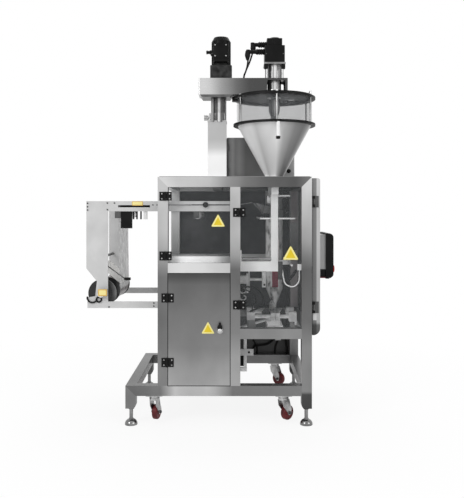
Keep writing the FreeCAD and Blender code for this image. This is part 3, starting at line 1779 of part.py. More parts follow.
def belt_unit(side):
    """A pull belt on two pulleys between side plates, carried on bored guide blocks."""
    reach = forming_radius + film_tube_clearance + film + face_gap
    centre_r = pulley_radius + belt_thickness
    y = y_mid + side * (reach + centre_r)
    x0 = filler_x - belt_width / 2

    def loop(radius):
        middle = block(x0, x0 + belt_width, y - radius, y + radius, belt_low, belt_high)
        ends = [rod(at(x0, y, z), X, belt_width, radius) for z in (belt_low, belt_high)]
        return join([middle] + ends)

    belt = loop(centre_r).cut(loop(pulley_radius))
    pieces = [belt]
    for z in (belt_low, belt_high):
        pieces.append(rod(at(x0, y, z), X, belt_width, pulley_radius))
    for s in (-1, 1):
        edge = filler_x + s * (belt_width / 2)
        plate = block(
            min(edge, edge + s * belt_plate), max(edge, edge + s * belt_plate),
            y - pulley_radius + belt_plate_margin, y + pulley_radius - belt_plate_margin,
            belt_low - belt_guide_half, belt_high + belt_guide_half,
        )
        x = filler_x + s * belt_guide_spread
        inner_edge = edge + s * belt_plate
        outer_edge = x + s * belt_block / 2
        guide = block(
            min(inner_edge, outer_edge), max(inner_edge, outer_edge),
            y - belt_guide_half, y + belt_guide_half,
            belt_middle - belt_block / 2, belt_middle + belt_block / 2,
        )
        start = at(x, y - belt_guide_half, belt_middle)
        guide = guide.cut(rod(start, Y, 2 * belt_guide_half, belt_guide_radius + running))
        pieces += [plate, guide]
    return pieces


# Sealing jaws and their drive

left_block_x = x_left + left_block_offset
right_block_x = x_right - end_block_length
jaw_rod_ys = (y_mid - jaw_rod_spread, y_mid + jaw_rod_spread)


def jaw_guide():
    """Guide rods in end blocks, the brackets that tie them to the sills, the chute and the stay."""
    pieces = []
    z0 = jaw_rod_height - end_block_height / 2
    for y in jaw_rod_ys:
        bore = rod(at(left_block_x, y, jaw_rod_height), X, x_right - left_block_x, jaw_rod_radius)
        pieces.append(bore)
        for x in (left_block_x, right_block_x):
            end = block(
                x, x + end_block_length, y - end_block_width / 2, y + end_block_width / 2,
                z0, z0 + end_block_height,
            )
            pieces.append(end.cut(bore))
        low_y = y_in_near if y < y_mid else y + end_block_width / 2
        high_y = y - end_block_width / 2 if y < y_mid else y_in_far
        pieces.append(
            block(
                left_block_x, left_block_x + end_block_length, low_y, high_y,
                right_shelf - jaw_bracket_height, right_shelf,
            )
        )
        pad_y = (y - end_block_width / 2, y + end_block_width / 2)
        pieces.append(
            block(x_right - jaw_pad, x_right, pad_y[0], pad_y[1], z0 - 2 * jaw_pad, z0)
        )
    x0 = filler_x - chute_length / 2
    y0 = y_mid - chute_width / 2
    low = chute_top - chute_height
    w = chute_wall
    chute = block(x0, x0 + chute_length, y0, y0 + chute_width, low, chute_top)
    chute = chute.cut(block(x0 + w, x0 + chute_length - w, y0 + w, y0 + chute_width - w, low, chute_top))
    pieces.append(chute)
    for side in (-1, 1):
        a = y_in_near if side < 0 else y_mid + chute_width / 2
        b = y_mid - chute_width / 2 if side < 0 else y_in_far
        half = chute_bar_width / 2
        pieces.append(block(filler_x - half, filler_x + half, a, b, low, low + chute_bar_height))
    return pieces + conveyor_stay()


def conveyor_stay():
    """An upright on a foot beside the base's cross beam, with a bored plate and a switch box."""
    x0 = x_mid + tube_size
    x1 = x0 + stay_inset
    x2 = x1 + stay_size
    half = stay_size / 2
    y0 = y_mid - half
    foot_top = stay_foot_low + stay_foot_height
    foot = block(x0, x0 + stay_foot_length, y0, y0 + stay_size, stay_foot_low, foot_top)
    upright = block(x1, x2, y0, y0 + stay_size, foot_top, stay_top)
    plate = block(
        x0, x0 + stay_plate_length, y0 - stay_plate_thickness, y0,
        stay_plate_low, stay_plate_low + stay_plate_height,
    )
    hole = rod(
        at(x0 + stay_plate_length - stay_hole_inset, y0 - stay_plate_thickness,
           stay_plate_low + stay_plate_height / 2),
        Y, stay_plate_thickness, stay_hole_radius,
    )
    box = block(x0, x1, y0, y0 + half, stay_box_low, stay_box_low + stay_box_height)
    return [foot, upright, plate.cut(hole), box]


def jaw(side):
    """A heated cross jaw with serrated face bar, bored for both guide rods."""
    face = filler_x + side * jaw_face
    back = face + side * jaw_thickness
    x0 = min(face, back)
    z0 = jaw_rod_height - jaw_height / 2
    body = block(
        x0, x0 + jaw_thickness, y_mid - jaw_length / 2, y_mid + jaw_length / 2, z0, z0 + jaw_height
    )
    body = round_edges(body, jaw_round, Y, lambda m: abs(m.x - face) > jaw_round / 2)
    depth = face + side * jaw_groove
    groove = block(
        min(face, depth), max(face, depth), y_mid - jaw_length / 2, y_mid + jaw_length / 2,
        jaw_rod_height - jaw_groove, jaw_rod_height + jaw_groove,
    )
    body = body.cut(groove)
    for y in jaw_rod_ys:
        body = body.cut(rod(at(x0, y, jaw_rod_height), X, jaw_thickness, jaw_rod_radius + running))
    return body


def right_jaw():
    return [jaw(1)]


crank_x = x_left + crank_offset
crank_z = jaw_rod_height - push_rod_drop - push_rod_fall - crank_arm
crank_pin_z = crank_z + crank_arm
crank_y = y_mid + yoke_thickness / 2 + slot_play
drive_y = crank_y + crank_plate + slot_play


def left_jaw():
    """The driven jaw, with the push rod down to the slotted yoke over the crank's pin."""
    body = jaw(-1)
    back = filler_x - jaw_face - jaw_thickness
    underside = jaw_rod_height - jaw_height / 2
    half_lug = lug_width / 2
    lug = block(
        back - lug_reach, back + jaw_face, y_mid - half_lug, y_mid + half_lug,
        underside - lug_drop, underside + half_lug,
    )
    lug = lug.cut(body)
    half = yoke_thickness / 2
    half_width = yoke_width / 2
    start = at(back - lug_reach / 2, y_mid, underside - lug_drop / 2)
    run = at(crank_x + half_width - yoke_lap, y_mid, crank_pin_z) - start
    push = rod(start, run, run.Length, push_rod_radius)
    yoke = block(
        crank_x - half_width, crank_x + half_width, y_mid - half, y_mid + half,
        crank_pin_z - yoke_length / 2, crank_pin_z + yoke_length / 2,
    )
    slot_x = crank_pin_radius + slot_play
    slot_z = yoke_length / 4
    slot = block(
        crank_x - slot_x, crank_x + slot_x, y_mid - half, y_mid + half,
        crank_pin_z - slot_z, crank_pin_z + slot_z,
    )
    return [body, join([lug, push, yoke]).cut(slot)]


def jaw_crank():
    """Crank arm, pin in the yoke's slot, and the shaft in its bearing."""
    foot = crank_foot_width / 2
    head = crank_head_width / 2
    arm = outline(
        [
            at(crank_x - foot, crank_y, crank_z),
            at(crank_x + foot, crank_y, crank_z),
            at(crank_x + head, crank_y, crank_pin_z),
            at(crank_x - head, crank_y, crank_pin_z),
        ],
        Y * crank_plate,
    )
    boss = rod(at(crank_x, crank_y, crank_z), Y, crank_plate, crank_disc_radius)
    tip = rod(at(crank_x, crank_y, crank_pin_z), Y, crank_plate, crank_tip_radius)
    start = y_mid - yoke_thickness / 2 - 2 * slot_play
    reach = crank_y + crank_plate / 2 - start
    pin = rod(at(crank_x, start, crank_pin_z), Y, reach, crank_pin_radius)
    shaft = rod(at(crank_x, crank_y, crank_z), Y, crank_shaft_length, crank_shaft_radius)
    return [join([arm, boss, tip, pin, shaft])]


def jaw_drive_box():
    """The drive's gearbox on the cabinet floor, bored for the crank's shaft."""
    half = drive_box_width / 2
    body = block(
        crank_x - half, crank_x + half, drive_y, drive_y + drive_box_depth,
        base_top, crank_z + drive_box_rise,
    )
    body = round_edges(body, drive_box_round, Y, lambda m: m.z > crank_z)
    return body.cut(
        rod(at(crank_x, drive_y, crank_z), Y, crank_shaft_length, crank_shaft_radius + running)
    )


cylinder_z0 = sealer_height - cylinder_size / 2
bar_x1 = filler_x - forming_radius - film_tube_clearance - film - film_gap


def air_cylinder():
    """The vertical sealer's cylinder, its front plate, the valve blocks below, and the drive box."""
    half = cylinder_size / 2
    front = divider_x + cylinder_length
    body = block(
        divider_x, front, y_mid - half, y_mid + half, cylinder_z0, cylinder_z0 + cylinder_size
    )
    body = round_edges(body, cylinder_round, X)
    half_plate = front_plate_width / 2
    plate = block(
        front, front + front_plate, y_mid - half_plate, y_mid + half_plate,
        sealer_height - front_plate_drop, sealer_height + front_plate_rise,
    )
    bore_x = divider_x + cylinder_end
    bore = rod(
        at(bore_x, y_mid, sealer_height), X, front + front_plate - bore_x, sealer_rod_radius + running
    )
    valves = []
    for i in range(valve_blocks):
        low = sealer_height - valve_drop - valve_pitch * i
        valve = block(
            divider_x, divider_x + valve_length, y_mid - valve_width / 2, y_mid + valve_width / 2,
            low, low + valve_height,
        )
        valves.append(round_edges(valve, valve_round, X))
    return [body.cut(bore), plate.cut(bore)] + valves + [jaw_drive_box()]


def vertical_sealer():
    """The heated bar beside the forming tube, on the cylinder's rod."""
    x0 = bar_x1 - sealer_depth
    bar = block(
        x0, bar_x1, y_mid - sealer_width / 2, y_mid + sealer_width / 2,
        sealer_height - sealer_length / 2, sealer_height + sealer_length / 2,
    )
    start = divider_x + cylinder_end + sealer_travel + 1
    piston = rod(at(start, y_mid, sealer_height), X, x0 - start, sealer_rod_radius)
    return [join([bar, piston])]


# Cables that the machine holds


def cable(points, radius):
    """A tube along straight runs with tangent arcs as large as the two runs allow."""
    edges = []
    previous = points[0]
    for before, corner, after in zip(points, points[1:], points[2:]):
        back = before - corner
        ahead = after - corner
        shorter = min(back.Length, ahead.Length)
        turn = math.pi - back.getAngle(ahead)
        trim = 0.45 * shorter
        bend = trim / math.tan(turn / 2)
        first = corner + back.normalize() * trim
        last = corner + ahead.normalize() * trim
        middle = back + ahead
        centre = corner + middle.normalize() * (bend / math.cos(turn / 2))
        crest = centre + (corner - centre).normalize() * bend
        edges.append(Part.makeLine(previous, first))
        edges.append(Part.Arc(first, crest, last).toShape())
        previous = last
    edges.append(Part.makeLine(previous, points[-1]))
    path = Part.Wire(edges)
    start = points[1] - points[0]
    ring = Part.Wire(Part.makeCircle(radius, points[0], start))
    return path.makePipeShell([ring], True, True)


def motor_cables():
    """The servo's two cables, from their elbow connectors down to the top of the arm."""
    upper, lower = [start - Z * connector_drop for start in connector_ends()]
    foot = at(x_left + cable_foot_offset, y_mid, arm_top)
    upper_route = [
        upper,
        upper + at(0, 0, -37),
        foot + at(36, 4, 112),
        foot + at(13, 2, 59),
        foot + at(0, 0, 23),
        foot,
    ]
    beside = foot - Y * cable_spread
    lower_route = [
        lower,
        lower + at(0, 0, -36),
        beside + at(20, 0, 78),
        beside + at(10, 0, 45),
        beside + at(0, 0, 25),
        beside,
    ]
    return [cable(route, cable_radius) for route in (upper_route, lower_route)]


def heater_lead():
    """From the side of the upper valve block to the jaws' end block."""
    x = divider_x + 30
    y = y_mid - valve_width / 2
    z = sealer_height - 50
    end_x = left_block_x + end_block_length / 2 + 8
    end_y = y_mid - jaw_rod_spread + 12
    top = jaw_rod_height + end_block_height / 2
    return cable(
        [
            at(x, y, z),
            at(x, y - 40, z),
            at(x + 34, y - 62, z - 8),
            at(x + 72, y - 66, z - 34),
            at(end_x + 23, end_y - 7, top + 56),
            at(end_x, end_y, top + 34),
            at(end_x, end_y, top),
        ],
        lead_radius,
    )


def panel_cables():
    """Cables down the lower far panel, each from the base beam to the sill above it."""
    x0 = x_mid + tube_size
    tall = right_sill - base_top
    on_panel = far_sheet_y - panel_cable_radius
    before = on_panel - 2 * panel_cable_radius - running

    def place(across, up, y):
        return at(x0 + right_bay * across, y, base_top + tall * up)

    routes = (
        (on_panel, ((0.22, 1), (0.22, 0.5), (0.36, 0.17), (0.36, 0))),
        (before, ((0.28, 0), (0.28, 0.2), (0.64, 0.25), (0.81, 0.67), (0.81, 1))),
        (on_panel, ((0.72, 0), (0.72, 0.17), (0.88, 0.67), (0.88, 1))),
        (before, ((0.95, 0), (0.95, 0.17), (0.91, 0.5), (0.95, 0.83), (0.95, 1))),
    )
    pieces = []
    for y, corners in routes:
        route = [place(across, up, y) for across, up in corners]
        pieces.append(cable(route, panel_cable_radius))
    return pieces


def hose_and_fitting():
    """A fitting on the right near post, and its hose to the end of the near support rail."""
    half = hose_fitting_size / 2
    x = x_right - half
    y = y_near + tube_size / 2
    low = hose_fitting_low
    fitting = block(
        x - half, x_right, y - half, y + half, low, low + hose_fitting_height
    )
    end_y = support_y[0] + support_bar_thickness / 2
    end_z = support_low + support_rail_height / 4
    hose = cable(
        [
            at(x, y, low),
            at(x, y, low - 64),
            at(x - 30, y + 8, low - 95),
            at(x - 76, y + 30, low - 82),
            at(x - 84, end_y, end_z - 30),
            at(support_x1 + 24, end_y, end_z),
            at(support_x1, end_y, end_z),
        ],
        hose_radius,
    )
    return [fitting, hose]


def wiring():
    return [heater_lead()] + panel_cables() + hose_and_fitting()


def main():
    os.makedirs("parts", exist_ok=True)
    save("frame_posts", frame_posts())
    save("frame_beams", frame_beams())
    save("steel_panels", steel_panels())
    save("far_windows", far_windows())
    save("fixed_hinge_leaves", fixed_hinge_leaves())
    save("left_window", left_window())
    save("right_window", right_window())
    save("cabinet_door", cabinet_door())
    save("cabinet_lock", cabinet_lock())
    save("leg_fittings", leg_fittings())
    for name, (x, y) in feet.items():
        save("foot_" + name, levelling_foot(x, y))
    for name, (x, y) in casters.items():
        save("fork_" + name, caster_fork(x, y, caster_turns[name]))
        save("wheel_" + name, caster_wheel(x, y, caster_turns[name]))
    save("front_door", front_door())
    save("hmi_housing", hmi_housing())
    save("hmi_screen", hmi_screen())
    save("emergency_stop", emergency_stop())
    save("start_button", start_button())
    save("electrical_panel", electrical_panel())
    save("rear_control_box", rear_control_box())
    save("column_sleeve", column_sleeve())
    save("clamp_knob", clamp_knob())
    save("lift_tubes", lift_tubes())
    save("arm_housing", arm_housing())
    save("gear_motor", gear_motor())
    save("servo_motor", servo_motor())
    save("tie_rods_and_pillars", tie_rods_and_pillars())
    save("hopper_cone", hopper_cone())
    save("hopper_rings", hopper_rings())
    save("hopper_cylinder", hopper_cylinder())
    save("hopper_lid", hopper_lid())
    save("auger_screw", auger_screw())
    save("agitator", agitator())
    save("film_rack", film_rack())
    save("guide_roller_rear", guide_roller(x_left + roller_a_offset))
    save("guide_roller_front", guide_roller(x_left + roller_b_offset))
    save("film_roll", film_roll())
    save("roll_chucks", roll_chucks())
    save("film", [film_web()] + film_tube())
    save("former_support", former_support())
    save("forming_set", forming_set())
    save("near_belt_unit", belt_unit(-1))
    save("far_belt_unit", belt_unit(1))
    save("jaw_guide", jaw_guide())
    save("left_jaw", left_jaw())
    save("right_jaw", right_jaw())
    save("jaw_crank", jaw_crank())
    save("air_cylinder", air_cylinder())
    save("vertical_sealer", vertical_sealer())
    save("motor_cables", motor_cables())
    save("wiring", wiring())


main()
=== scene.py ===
import json
import math

import bmesh
import bpy
from mathutils import Matrix, Vector


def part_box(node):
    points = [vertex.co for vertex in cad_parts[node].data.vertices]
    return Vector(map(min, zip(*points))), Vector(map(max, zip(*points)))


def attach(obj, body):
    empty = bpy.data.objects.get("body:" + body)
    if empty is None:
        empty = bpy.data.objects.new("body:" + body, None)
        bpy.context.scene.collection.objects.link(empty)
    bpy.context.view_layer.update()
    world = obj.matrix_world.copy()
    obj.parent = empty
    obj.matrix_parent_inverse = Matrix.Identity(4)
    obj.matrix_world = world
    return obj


# The sachet packaging machine dressed for its portrait. Metres, +Z up, -Y towards the cabinet door.

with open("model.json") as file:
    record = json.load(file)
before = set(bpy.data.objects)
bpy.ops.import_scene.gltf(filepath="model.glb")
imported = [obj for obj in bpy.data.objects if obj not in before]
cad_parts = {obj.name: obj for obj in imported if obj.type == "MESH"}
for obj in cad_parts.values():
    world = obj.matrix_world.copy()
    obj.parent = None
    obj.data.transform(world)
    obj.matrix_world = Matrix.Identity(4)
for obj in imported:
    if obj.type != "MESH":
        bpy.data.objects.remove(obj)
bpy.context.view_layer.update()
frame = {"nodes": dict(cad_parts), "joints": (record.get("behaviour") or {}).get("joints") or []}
nodes = frame["nodes"]

X = Vector((1, 0, 0))
Y = Vector((0, 1, 0))
Z = Vector((0, 0, 1))


def low(node):
    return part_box(node)[0]


def high(node):
    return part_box(node)[1]


def middle(node):
    return (low(node) + high(node)) / 2


# Places read from the frame

post_width = 0.055
door_play = 0.0015
post_lo, post_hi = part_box("frame_posts")
near_face = post_lo.y
far_face = post_hi.y
frame_end = post_hi.x
end_post_inner = frame_end - post_width
left_post_x = low("cabinet_door").x - post_width - door_play
drum_lo, drum_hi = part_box("hopper_cylinder")
filler = Vector(((drum_lo.x + drum_hi.x) / 2, (drum_lo.y + drum_hi.y) / 2, 0))
arm_lo, arm_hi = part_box("arm_housing")
corners_of_base = ("front_near", "front_far", "rear_near", "rear_far")


# Materials

knee = 0.04045
mix_factor = 0
mix_first = 6
mix_second = 7
mix_colour = 2


def linear(grey):
    """A display grey or colour from 0 to 255, as the linear value that a shader takes."""
    def one(v):
        c = v / 255
        return c / 12.92 if c <= knee else ((c + 0.055) / 1.055) ** 2.4
    if isinstance(grey, (int, float)):
        grey = (grey, grey, grey)
    return tuple(one(v) for v in grey) + (1.0,)


def colour_of(node):
    """The output that carries a node's colour; a mix node has one for each kind of value."""
    return node.outputs[mix_colour if node.bl_idname == "ShaderNodeMix" else "Color"]


class Shader:
    """A material being built: its Principled shader and short ways to add nodes to it."""

    def __init__(self, name, colour, metallic=0.0, roughness=0.5, **sockets):
        self.material = bpy.data.materials.new(name)
        self.material.use_nodes = True
        self.tree = self.material.node_tree
        self.bsdf = self.tree.nodes["Principled BSDF"]
        self.bsdf.inputs["Base Color"].default_value = linear(colour)
        self.bsdf.inputs["Metallic"].default_value = metallic
        self.bsdf.inputs["Roughness"].default_value = roughness
        for key, value in sockets.items():
            self.bsdf.inputs[key.replace("_", " ")].default_value = value

    def add(self, kind, **values):
        """A node with its settings and the values of its sockets."""
        node = self.tree.nodes.new(kind)
        for key, value in values.items():
            if hasattr(node, key):
                setattr(node, key, value)
            else:
                node.inputs[key.replace("_", " ")].default_value = value
        return node

    def link(self, source, output, target, socket):
        self.tree.links.new(source.outputs[output], target.inputs[socket])

    def place(self, scale=(1, 1, 1)):
        """Object coordinates, stretched."""
        coord = self.add("ShaderNodeTexCoord")
        mapping = self.add("ShaderNodeMapping", Scale=scale)
        self.link(coord, "Object", mapping, "Vector")
        return mapping

    def noise(self, scale, stretch=(1, 1, 1), detail=4.0):
        noise = self.add("ShaderNodeTexNoise", Scale=scale, Detail=detail)
        self.link(self.place(stretch), "Vector", noise, "Vector")
        return noise

    def ramp(self, source, stops, output="Fac"):
        """A colour ramp over a source; stops are pairs of position and display colour."""
        ramp = self.add("ShaderNodeValToRGB")
        points = ramp.color_ramp.elements
        while len(points) < len(stops):
            points.new(0.5)
        for point, (position, colour) in zip(points, stops):
            point.position = position
            point.color = linear(colour)
        self.link(source, output, ramp, "Fac")
        return ramp

    def spread(self, source, lowest, highest, output="Fac", start=0.0, end=1.0):
        """Maps a source's range to a range of numbers."""
        spread = self.add(
            "ShaderNodeMapRange", From_Min=start, From_Max=end, To_Min=lowest, To_Max=highest
        )
        self.link(source, output, spread, "Value")
        return spread

    def along_axis(self, axis, stops):
        """A ramp of greys over metres along X, Y or Z; stops are pairs of metres and grey."""
        start, end = stops[0][0], stops[-1][0]
        split = self.add("ShaderNodeSeparateXYZ")
        self.link(self.place(), "Vector", split, "Vector")
        share = self.spread(split, 0.0, 1.0, axis, start, end)
        return self.ramp(share, [((at - start) / (end - start), grey) for at, grey in stops], "Result")

    def around(self, centre, stops):
        """A ramp of greys around an upright axis; stops run from -X (0) by -Y (0.25) to +X (0.5)."""
        place = self.place()
        place.inputs["Location"].default_value = -Vector(centre)
        wheel = self.add("ShaderNodeTexGradient", gradient_type="RADIAL")
        self.link(place, "Vector", wheel, "Vector")
        return self.ramp(wheel, stops)

    def multiply(self, first, second):
        mix = self.add("ShaderNodeMix", data_type="RGBA", blend_type="MULTIPLY")
        mix.inputs[mix_factor].default_value = 1.0
        self.tree.links.new(colour_of(first), mix.inputs[mix_first])
        self.tree.links.new(colour_of(second), mix.inputs[mix_second])
        return mix

    def colour_from(self, node):
        self.tree.links.new(colour_of(node), self.bsdf.inputs["Base Color"])

    def rough_from(self, source, lowest, highest):
        self.link(self.spread(source, lowest, highest), "Result", self.bsdf, "Roughness")

    def bump(self, source, strength, distance=0.001):
        bump = self.add("ShaderNodeBump", Strength=strength, Distance=distance)
        self.link(source, "Fac", bump, "Height")
        self.link(bump, "Normal", self.bsdf, "Normal")


white = 255
fine_relief = 0.0003
upright_grain = (9, 9, 0.22)
level_grain = (0.22, 9, 9)
even_grain = (3, 3, 3)


def satin(
    name, run, stops, grain=upright_grain, roughness=0.34, patch=3.0, mottle=0.82, metallic=0.75, also=None
):
    """Satin steel with grain and cloudy patches.

    Its tone runs along an axis, given by its letter, or around an upright line through a point; this ramp, and
    the ramp of also, are painted reflection and painted shade.
    """
    s = Shader(name, stops[0][1], metallic, roughness)
    # The tone ramp is painted reflection and painted shade, not a colour of the steel.
    tone = s.along_axis(run, stops) if isinstance(run, str) else s.around(run, stops)
    clouds = s.noise(patch, stretch=(1, 1, 0.7), detail=3.0)
    mixed = s.multiply(tone, s.ramp(clouds, [(0.3, white * mottle), (0.62, white)]))
    if also:
        mixed = s.multiply(mixed, s.along_axis(*also))
    s.colour_from(mixed)
    lines = s.noise(60.0, grain, detail=3.0)
    s.rough_from(lines, roughness - 0.08, roughness + 0.1)
    s.bump(lines, 0.1, fine_relief)
    return s.material


def even(name, grey, **values):
    """Satin metal of one tone."""
    return satin(name, "Z", [(0.0, grey), (1.0, grey)], **values)


def painted(name, colour, dark, roughness, grain=420.0, strength=0.15, patch=9.0, gloss=0.3):
    """Paint or moulded plastic: a fine orange peel and a little wear in the tone; on the smoked far pane that
    tone is painted reflection.
    """
    s = Shader(name, colour, 0.0, roughness, Specular_IOR_Level=gloss)
    tone = s.noise(patch)
    s.colour_from(s.ramp(tone, [(0.3, dark), (0.7, colour)]))
    s.bump(s.noise(grain, detail=2.0), strength, fine_relief)
    s.rough_from(tone, roughness - 0.06, roughness + 0.08)
    return s.material


def see_through(name, colour, alpha, roughness, haze=0.03, gloss=0.1, crease_shade=None):
    """Clear sheet: a tint and faint handling marks; with a crease grey, the painted highlights and painted
    shade of film folds over a bump of the same folds.
    """
    s = Shader(name, colour, 0.0, roughness, Alpha=alpha, Specular_IOR_Level=gloss)
    if crease_shade:
        folds = s.noise(26.0, stretch=(1.4, 1, 0.7), detail=5.0)
        # The pale and dark fold colours are painted highlight and painted shade.
        s.colour_from(s.ramp(folds, [(0.36, crease_shade), (0.5, colour), (0.64, white)]))
        s.bump(folds, 0.5, 0.004)
    s.rough_from(s.noise(14.0, detail=6.0), roughness, roughness + haze)
    return s.material


# Painted reflection and painted shade: the posts lighter at the top and darker lower down.
post_steel = satin(
    "post_steel", "Z",
    [(0.05, 138), (0.24, 132), (0.45, 118), (0.8, 118), (0.92, 160), (1.06, 190), (1.34, 206)],
)
# Painted reflection and painted shade: the middle post lighter low and at the top, darker between.
mid_post_steel = satin(
    "mid_post_steel", "Z",
    [(0.2, 164), (0.36, 156), (0.5, 126), (0.84, 112), (0.92, 160), (1.06, 190), (1.34, 204)],
)
# Painted shade: a darker copy of the steel for the far legs, far base beams and far leg caps.
shaded_far_leg_steel = even("shaded_far_leg_steel", 92)
# Painted shade and painted highlight: the end posts dark at the foot and light at the top.
end_post_steel = satin(
    "end_post_steel", "Z",
    [(0.09, 66), (0.168, 72), (0.184, 132), (0.42, 132), (0.56, 104), (0.84, 98), (0.96, 150),
     (1.13, 204), (1.34, 228)],
)
# Painted reflection: the top beams light towards -X and darker towards +X.
top_steel = satin(
    "top_steel", "X",
    [(-0.29, 222), (-0.2, 224), (0.0, 198), (0.09, 156), (0.19, 120), (0.3, 102), (0.46, 100), (0.55, 128)],
    grain=level_grain,
)
# Painted reflection and painted shade: a lighter copy for the left beams and a darker one for the right beams.
left_beam_steel = satin("left_beam_steel", "X", [(-0.29, 196), (-0.15, 216), (0.1, 206)], grain=level_grain)
right_beam_steel = satin("right_beam_steel", "X", [(0.1, 126), (0.4, 142), (0.55, 130)], grain=level_grain)
# Painted reflection and painted shade: the base beams light in the middle and darker at both ends.
base_steel = satin(
    "base_steel", "X",
    [(-0.46, 112), (-0.27, 126), (-0.19, 204), (-0.02, 200), (0.12, 116), (0.55, 124)], grain=level_grain,
)
# Painted reflection and painted shade: the cabinet door darker towards the top, its large patches a blotchy
# painted reflection.
door_steel = satin(
    "door_steel", "Z",
    [(0.2, 172), (0.3, 156), (0.42, 130), (0.6, 118), (0.76, 106), (0.8, 82), (0.82, 76)],
    mottle=0.88, patch=4.0,
)
sheet_steel = even("sheet_steel", 150)
light_steel = even("light_steel", 206, roughness=0.3, mottle=0.9)
# Painted highlight: the column near white low down and greyer towards the top.
column_steel = satin(
    "column_steel", "Z", [(1.34, 255), (1.48, 252), (1.53, 206), (1.58, 184), (1.74, 176)],
    mottle=0.94, metallic=0.3,
)
# Painted reflection: light and dark bands around the cone, with a dark band between -Y and +X.
cone_steel = satin(
    "cone_steel", filler,
    [(0.0, 240), (0.07, 255), (0.125, 240), (0.155, 206), (0.2, 228), (0.255, 240), (0.29, 186),
     (0.34, 132), (0.39, 104), (0.43, 132), (0.47, 200), (0.5, 222)],
    grain=even_grain, roughness=0.36, mottle=0.9, metallic=0.05,
)
# Painted reflection: light and dark upright stripes across the lift tubes and the clamp jaws.
tube_steel = satin(
    "tube_steel", "X",
    [(-0.011, 110), (-0.004, 164), (0.004, 120), (0.011, 70), (0.02, 96), (0.03, 120), (0.037, 240),
     (0.044, 170), (0.052, 80), (0.06, 120), (0.067, 150)],
    roughness=0.5, mottle=0.9, metallic=0.0,
)
# Painted highlight: the shelf and the strip on its edge brightest in the middle.
shelf_steel = satin(
    "shelf_steel", "X", [(-0.24, 190), (-0.17, 255), (0.02, 255), (0.06, 200), (0.11, 150)],
    roughness=0.7, metallic=0.0,
)
# Painted reflection: light and dark stripes around the drum and drive sleeves.
sleeve_steel = satin(
    "sleeve_steel", filler,
    [(0.0, 60), (0.1, 120), (0.15, 70), (0.19, 150), (0.22, 120), (0.24, 244), (0.282, 226),
     (0.299, 84), (0.32, 190), (0.375, 214), (0.395, 60), (0.5, 74)],
    roughness=0.22, mottle=0.94, metallic=0.2,
)
# Painted light: a brightened, non-metallic copy of the bay's metal, lighter to make up for the dim light in
# the bay.
brightened_bay_metal = even("brightened_bay_metal", 255, grain=even_grain, patch=20.0, mottle=0.84, metallic=0.0)
disc_mixed = satin(
    "disc_mixed", "X", [(-0.68, 12), (-0.6, 14), (-0.554, 26), (-0.545, 50), (-0.528, 92), (-0.51, 128)],
    grain=even_grain, patch=26.0, mottle=0.6, metallic=0.0,
)
# On the right bay's far panel this dark sheet is painted shade.
dark_sheet = even("dark_sheet", 44, mottle=0.7, metallic=0.2)
dark_steel = even("dark_steel", 96, grain=even_grain, patch=12.0, mottle=0.6)
# Painted reflection and painted shade: the rear box dark at its -X edge, a light patch, lighter again towards
# +X.
box_paint = satin(
    "box_paint", "X",
    [(0.08, 52), (0.088, 60), (0.1, 150), (0.12, 176), (0.135, 150), (0.16, 168), (0.2, 124),
     (0.28, 112), (0.4, 128), (0.5, 178)],
    grain=even_grain, mottle=0.78, metallic=0.1,
)
bright_steel = even("bright_steel", 214, roughness=0.2, patch=6.0, mottle=0.72, grain=(1, 1, 9))
# Painted reflection and painted shade: the arm light towards -X and darker towards +X.
arm_steel = satin(
    "arm_steel", "X",
    [(-0.083, 176), (-0.078, 206), (-0.01, 200), (0.05, 162), (0.14, 118), (0.22, 86), (0.45, 76)],
    grain=level_grain, roughness=0.28,
)
# Painted highlight and painted shade on the guard: dark at the bottom, a light band above it, its outer strip
# across X a painted highlight.
guard_heights = [
    (0.48, 84), (0.54, 96), (0.556, 176), (0.62, 172), (0.66, 176), (0.8, 172), (1.2, 205), (1.34, 210),
]
guard_steel = satin(
    "guard_steel", "X", [(0.545, 150), (0.571, 160), (0.574, 246), (0.6, 240)],
    mottle=0.9, metallic=0.4, also=("Z", guard_heights),
)
aluminium = even("aluminium", 196, grain=even_grain, patch=6.0, mottle=0.86)
plate_grey = painted("plate_grey", 198, 184, 0.45, 500.0, 0.1)
white_plate = painted("white_plate", 226, 210, 0.4, 500.0, 0.08)
# Painted light: a brightened copy of the white plate for the dim bay.
brightened_bay_white = painted("brightened_bay_white", 255, 236, 0.5, 500.0, 0.08)
gear_case = painted("gear_case", 62, 24, 0.4, 200.0, 0.2, patch=34.0, gloss=0.1)
chromed = even("chromed", 150, roughness=0.14, grain=(1, 1, 6), patch=14.0, mottle=0.7, metallic=1.0)
zinc = even("zinc", 198, grain=even_grain, patch=30.0, mottle=0.66, metallic=0.95)
black_plastic = painted("black_plastic", 26, 12, 0.42, gloss=0.1)
black_paint = painted("black_paint", 26, 14, 0.36, 300.0, 0.2, gloss=0.08)
dark_lid = painted("dark_lid", 24, 12, 0.4, 200.0, 0.08, gloss=0.06)
grey_box = painted("grey_box", 164, 150, 0.4, 260.0, 0.1)
rubber_red = painted("rubber_red", (104, 26, 30), (62, 14, 18), 0.5, 260.0, 0.2, patch=30.0)
belt_red = painted("belt_red", (132, 48, 66), (98, 32, 48), 0.6, 300.0, 0.3)
button_red = painted("button_red", (196, 28, 26), (170, 20, 20), 0.3, 300.0, 0.05)
button_green = painted("button_green", (36, 150, 70), (26, 126, 58), 0.3, 300.0, 0.05)
trim_red = painted("trim_red", (104, 22, 30), (84, 14, 22), 0.4, 300.0, 0.05)
sign_yellow = painted("sign_yellow", (222, 196, 44), (208, 180, 34), 0.4, 400.0, 0.05)
sign_rim = painted("sign_rim", (236, 226, 150), (226, 214, 130), 0.4, 400.0, 0.05)
hose_white = painted("hose_white", 226, 208, 0.35, 300.0, 0.05)
pane_clear = see_through("pane_clear", (178, 182, 184), 0.04, 0.06, gloss=0.04)
